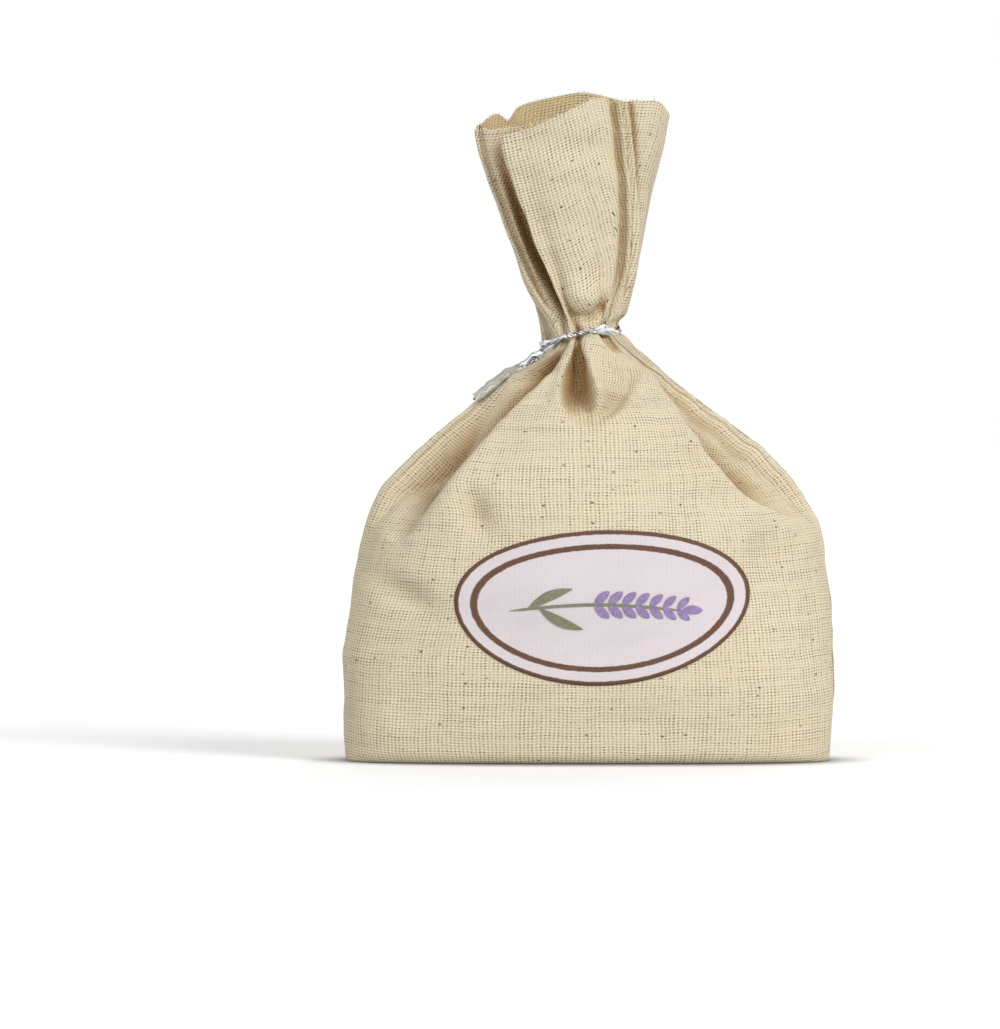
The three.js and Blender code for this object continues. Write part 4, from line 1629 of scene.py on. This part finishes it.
    def tail(
        self, to_front: float, edge: float, width: float, core: float, longer: float = 0.0
    ) -> np.ndarray:
        """Free end of the strip, or a part of it: narrow at the bend, straight on the shoulder, cut square.

        It settles from the twist onto the seam's ridge and leans down on its own side of it.

        Args:
            to_front: how far its middle stands to the front of the twist.
            edge: how far the part stands across the strip from its middle.
            width: full width of the part.
            core: thickness over its middle.
            longer: length past the strip's end.

        Returns:
            Stack of rings.
        """
        down, lift = self.slope()
        share = np.linspace(0.0, 1.0, 80)
        grown = smoothstep(share, 0.0, 0.3)
        roll = -math.copysign(self.tail_roll, to_front) + 0.08 * np.sin(share * 14.0 + to_front)
        across = -np.cos(roll)[:, None] * BACKWARDS + np.sin(roll)[:, None] * lift
        path = self.hinge + down * (0.1 + share * (self.tail_length + longer))[:, None]
        rest = self.tail_rest - 0.25 * smoothstep(share, 0.0, 0.35) + 0.3 * smoothstep(share, 0.4, 1.0)
        path = path + lift * (0.08 * np.sin(share * 19.0 + to_front) * share - rest)[:, None]
        path[:, 1] = self.twist_side * (1.0 - grown) - to_front * grown
        path = path + across * (edge * grown)[:, None]
        size = (0.5 + 0.5 * grown) * width * (1.0 + 0.05 * np.sin(share * 31.0))
        outline = self.strip_outline(size, np.full_like(share, core), np.zeros_like(share))
        return sweep(path, across, np.cross(across, down), outline)

    def build(self, foil: Material, dull: Material, painted_shade_edge: Material, wire: Material) -> list[Object]:
        """Make the loop, the twist, and the two tails with their creased edges and wires.

        Args:
            foil: bright crumpled foil.
            dull: the same film where it lies flat and dull.
            painted_shade_edge: dark finish of the tails' creased edges, painted shade for the shadow line
                beneath them.
            wire: the wire inside it.

        Returns:
            The pieces.
        """
        folds = ((0.9, 0.0), (0.0, 1.9), (-1.1, 3.4), (-2.1, 5.0))
        strands = [self.fan(drop, phase) for drop, phase in folds]
        loop = capped_tubes("tie_loop_foil", [self.band(), self.rope(0.0), self.rope(math.pi), *strands])
        twist = capped_tubes("tie_twist_foil", [self.twist(0.0), self.twist(0.6)])
        core = capped_tubes("tie_loop_core", [self.loop_core()])
        pieces = [
            dress(loop, Body.TIE, Slot.FOIL, foil, "tie_loop"),
            dress(core, Body.TIE, Slot.WIRE, wire, "tie_loop_wire"),
            dress(twist, Body.TIE, Slot.FOIL, foil, "tie_twist"),
        ]
        for body, to_front in ((Body.FRONT_TAIL, 2.2), (Body.BACK_TAIL, -1.9)):
            name = body.value
            outer = math.copysign(self.tail_width / 2, to_front)
            film = capped_tubes(f"{name}_film", [self.tail(to_front, 0.0, self.tail_width, self.core)])
            # Creased edge along each tail's outer side, dark as painted shade for the shadow line beneath it
            hem = capped_tubes(f"{name}_creased_edge_painted_shade", [self.tail(to_front, outer, 0.5, 0.4)])
            inner = self.tail(to_front, 0.0, self.wire_girth, self.wire_girth, longer=0.5)
            core = capped_tubes(f"{name}_core", [inner])
            pieces.append(dress(film, body, Slot.FOIL, dull, name))
            pieces.append(dress(hem, body, Slot.FOIL, painted_shade_edge))
            pieces.append(dress(core, body, Slot.WIRE, wire, f"{name}_wire"))
        return pieces


# Studio


@dataclass(frozen=True)
class Studio:
    """Pale floor, white surroundings, soft lamps and the camera of the photograph."""

    frame_width: float = 204.9
    aim: tuple[float, float, float] = (-18.2, 0.0, 50.3)
    distance: float = 1600.0
    elevation: float = math.radians(1.1)
    sensor: float = 36.0
    floor_lift: float = 0.14
    painted_contact_shadow_reach: float = 16.0
    floor_colour: str = "#c6c6c6"
    floor_radius: float = 6000.0
    surround: float = 0.44

    def camera(self) -> None:
        """Long lens, nearly level, aimed so that the object stands where it does in the photograph."""
        data = bpy.data.cameras.new("camera")
        data.sensor_fit = "HORIZONTAL"
        data.sensor_width = self.sensor
        data.lens = self.sensor * self.distance / self.frame_width
        data.clip_end = 20.0
        camera = bpy.data.objects.new("camera", data)
        away = np.array([0.0, -math.cos(self.elevation), math.sin(self.elevation)]) * self.distance
        camera.location = (np.array(self.aim) + away) * MM
        camera.rotation_euler = (math.pi / 2 - self.elevation, 0.0, 0.0)
        bpy.context.scene.collection.objects.link(camera)
        bpy.context.scene.camera = camera

    def sun(self, name: str, towards: tuple[float, float, float], spread: float, strength: float) -> None:
        """Even soft light from one direction; spread is its width in degrees."""
        data = bpy.data.lights.new(name, "SUN")
        data.angle = math.radians(spread)
        data.energy = strength
        lamp = bpy.data.objects.new(name, data)
        lamp.rotation_euler = Vector(towards).to_track_quat("-Z", "Y").to_euler()
        bpy.context.scene.collection.objects.link(lamp)

    def seen_directly(self, tree: NodeTree) -> Node:
        """Node that is 1 for rays from the camera, from a mirror or through glass, and 0 for light."""
        rays = add_node(tree, "LightPath")
        direct = add_node(tree, "Math", {0: (rays, "Is Camera Ray"), 1: (rays, "Is Glossy Ray")}, **LARGER)
        return add_node(tree, "Math", {0: direct, 1: (rays, "Is Transmission Ray")}, **LARGER)

    def floor(self) -> None:
        """Round matt floor: white where it is seen, with the lamps' soft shadows and a painted contact shadow
        from ambient occlusion, and grey as it throws light back.
        """
        corners = 64
        angle = np.linspace(0.0, math.tau, corners, endpoint=False)
        ring = np.stack([np.cos(angle), np.sin(angle), np.zeros(corners)], axis=-1) * self.floor_radius
        floor = make_object("floor", ring, [list(range(corners))])
        material, tree, shader = start_material("pale_studio_floor")
        seen = self.seen_directly(tree)
        lift = add_node(tree, "Math", {0: seen, 1: self.floor_lift}, **TIMES)
        # Painted contact shadow: ambient occlusion greys the seen colour near the object
        near = add_node(tree, "AmbientOcclusion", {"Distance": self.painted_contact_shadow_reach * MM}, samples=8)
        clear = add_node(tree, "MapRange", {"Value": (near, "AO"), **ease(0.42, 0.9)})
        white = add_node(tree, "Mix", {0: clear, 6: linear("#5c5c62"), 7: linear("#ffffff")}, **COLOURS)
        tone = add_node(tree, "Mix", {0: seen, 6: linear(self.floor_colour), 7: white}, **COLOURS)
        matt = {"Base Color": tone, "Roughness": 1.0, "Specular IOR Level": 0.0}
        feed(tree, shader, {**matt, "Emission Color": linear("#ffffff"), "Emission Strength": lift})
        floor.data.materials.append(material)

    def world(self) -> None:
        """White surroundings: dim as a light, white where they are seen directly."""
        world = bpy.data.worlds.new("studio")
        world.use_nodes = True
        tree = world.node_tree
        tree.nodes.clear()
        dim = add_node(tree, "Background", {"Color": linear("#ffffff"), "Strength": self.surround})
        white = add_node(tree, "Background", {"Color": linear("#ffffff"), "Strength": 1.0})
        both = add_node(tree, "MixShader", {0: self.seen_directly(tree), 1: dim, 2: white})
        add_node(tree, "OutputWorld", {"Surface": both})
        bpy.context.scene.world = world

    def build(self) -> None:
        """Set up the view, the floor, the surroundings and the lamps."""
        bpy.context.scene.view_settings.view_transform = "Standard"
        self.camera()
        self.floor()
        self.world()
        self.sun("key", (-0.60, 0.64, -0.48), 25.0, 1.69)
        self.sun("back", (-0.15, -0.9, -0.42), 60.0, 0.9)
        self.sun("fill", (0.5, 0.82, -0.3), 60.0, 0.85)


def read_tie(record: dict[str, Any]) -> TwistTie:
    """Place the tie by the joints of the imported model.

    Args:
        record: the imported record.

    Returns:
        The tie, with its loop's centre and axis and the hinge of its tails.
    """
    joints = {joint["name"]: joint for joint in record["behaviour"]["joints"]}
    turn, bend = joints["tie_turn"], joints["front_tail_bend"]
    hinge = np.array(bend["pos_m"]) / MM
    hinge[1] = 0.0
    axis = np.array(turn["axis"], dtype=float)
    return TwistTie(centre=np.array(turn["pos_m"]) / MM, axis=axis, hinge=hinge)


def main() -> None:
    """Build every piece in order."""
    logging.basicConfig(level=logging.INFO, format="%(name)s: %(message)s")
    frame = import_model()
    Studio().build()
    # Painted shade: the cloth's inner faces get a darker copy of the cotton, for the shaded inside of the bag
    inside = OpenWeaveCotton("unbleached_cotton_inside_painted_shade", "#e0d0aa", "#c4ad80")
    cotton = (OpenWeaveCotton().build(), inside.build())
    # Overlocked thread is matt and a little darker than the cloth; dried buds fade from violet to grey
    bound_edge = MottledFinish("overlocked_thread", "#d9c9a0", "#bfae84", 0.8, 0.95).build()
    dried_buds = MottledFinish("dried_lavender_buds", "#7a6f92", "#4c4a52", 1.6, 0.9).build()
    # Annealed wire is a grey metal with a soft shine
    wire = MottledFinish("annealed_wire", "#9a9da2", "#7d8085", 0.6, 0.4, 1.0).build()
    # Crumpled foil flashes bright, with painted dark reflections; its film is dull where it lies flat, and
    # the tails' creased edges are dark with painted shade
    bright_foil = CrumpledFoil("silver_foil_crumpled", "#f1f2f3", "#4c4f53", 1.5, 0.14, 1.0).build()
    dull_foil = CrumpledFoil("silver_film_dull_side", "#c4c0b6", "#a09b8e", 2.2, 0.42, 0.45).build()
    painted_shade_film = MottledFinish("silver_film_edge_painted_shade", "#6a6658", "#a8a598", 1.1, 0.45, 0.3).build()
    # Cut thread ends are as pale as the cloth; the inks are flat and matt
    loose_thread = MottledFinish("loose_cotton_thread", "#f4ead4", "#e2d5b4", 0.9, 0.95).build()
    leaf_ink = MottledFinish("matt_ink_green_brown", "#7d7a62", "#8d8a72", 0.7, 0.8).build()
    bud_ink = MottledFinish("matt_ink_violet", "#8a76a6", "#a08fb8", 0.7, 0.8).build()
    pouch = Pouch()
    smooth, points = pouch.surface()
    front, back = pouch.build(smooth, points, cotton)
    pieces = [front, back]
    pieces += Seams().build(pouch, points, bound_edge)
    pieces.append(Flowers().build(pouch, points, dried_buds))
    pieces.append(OvalLabel().build(front, OvalPrint().build()))
    pieces += LabelSprig().build(front, leaf_ink, bud_ink)
    pieces.append(CutEdge().build(points, loose_thread))
    pieces += read_tie(frame["record"]).build(bright_foil, dull_foil, painted_shade_film, wire)
    for piece in pieces:
        log.info("%s: %d vertices", piece.name, len(piece.data.vertices))


if __name__ == "__main__":
    main()
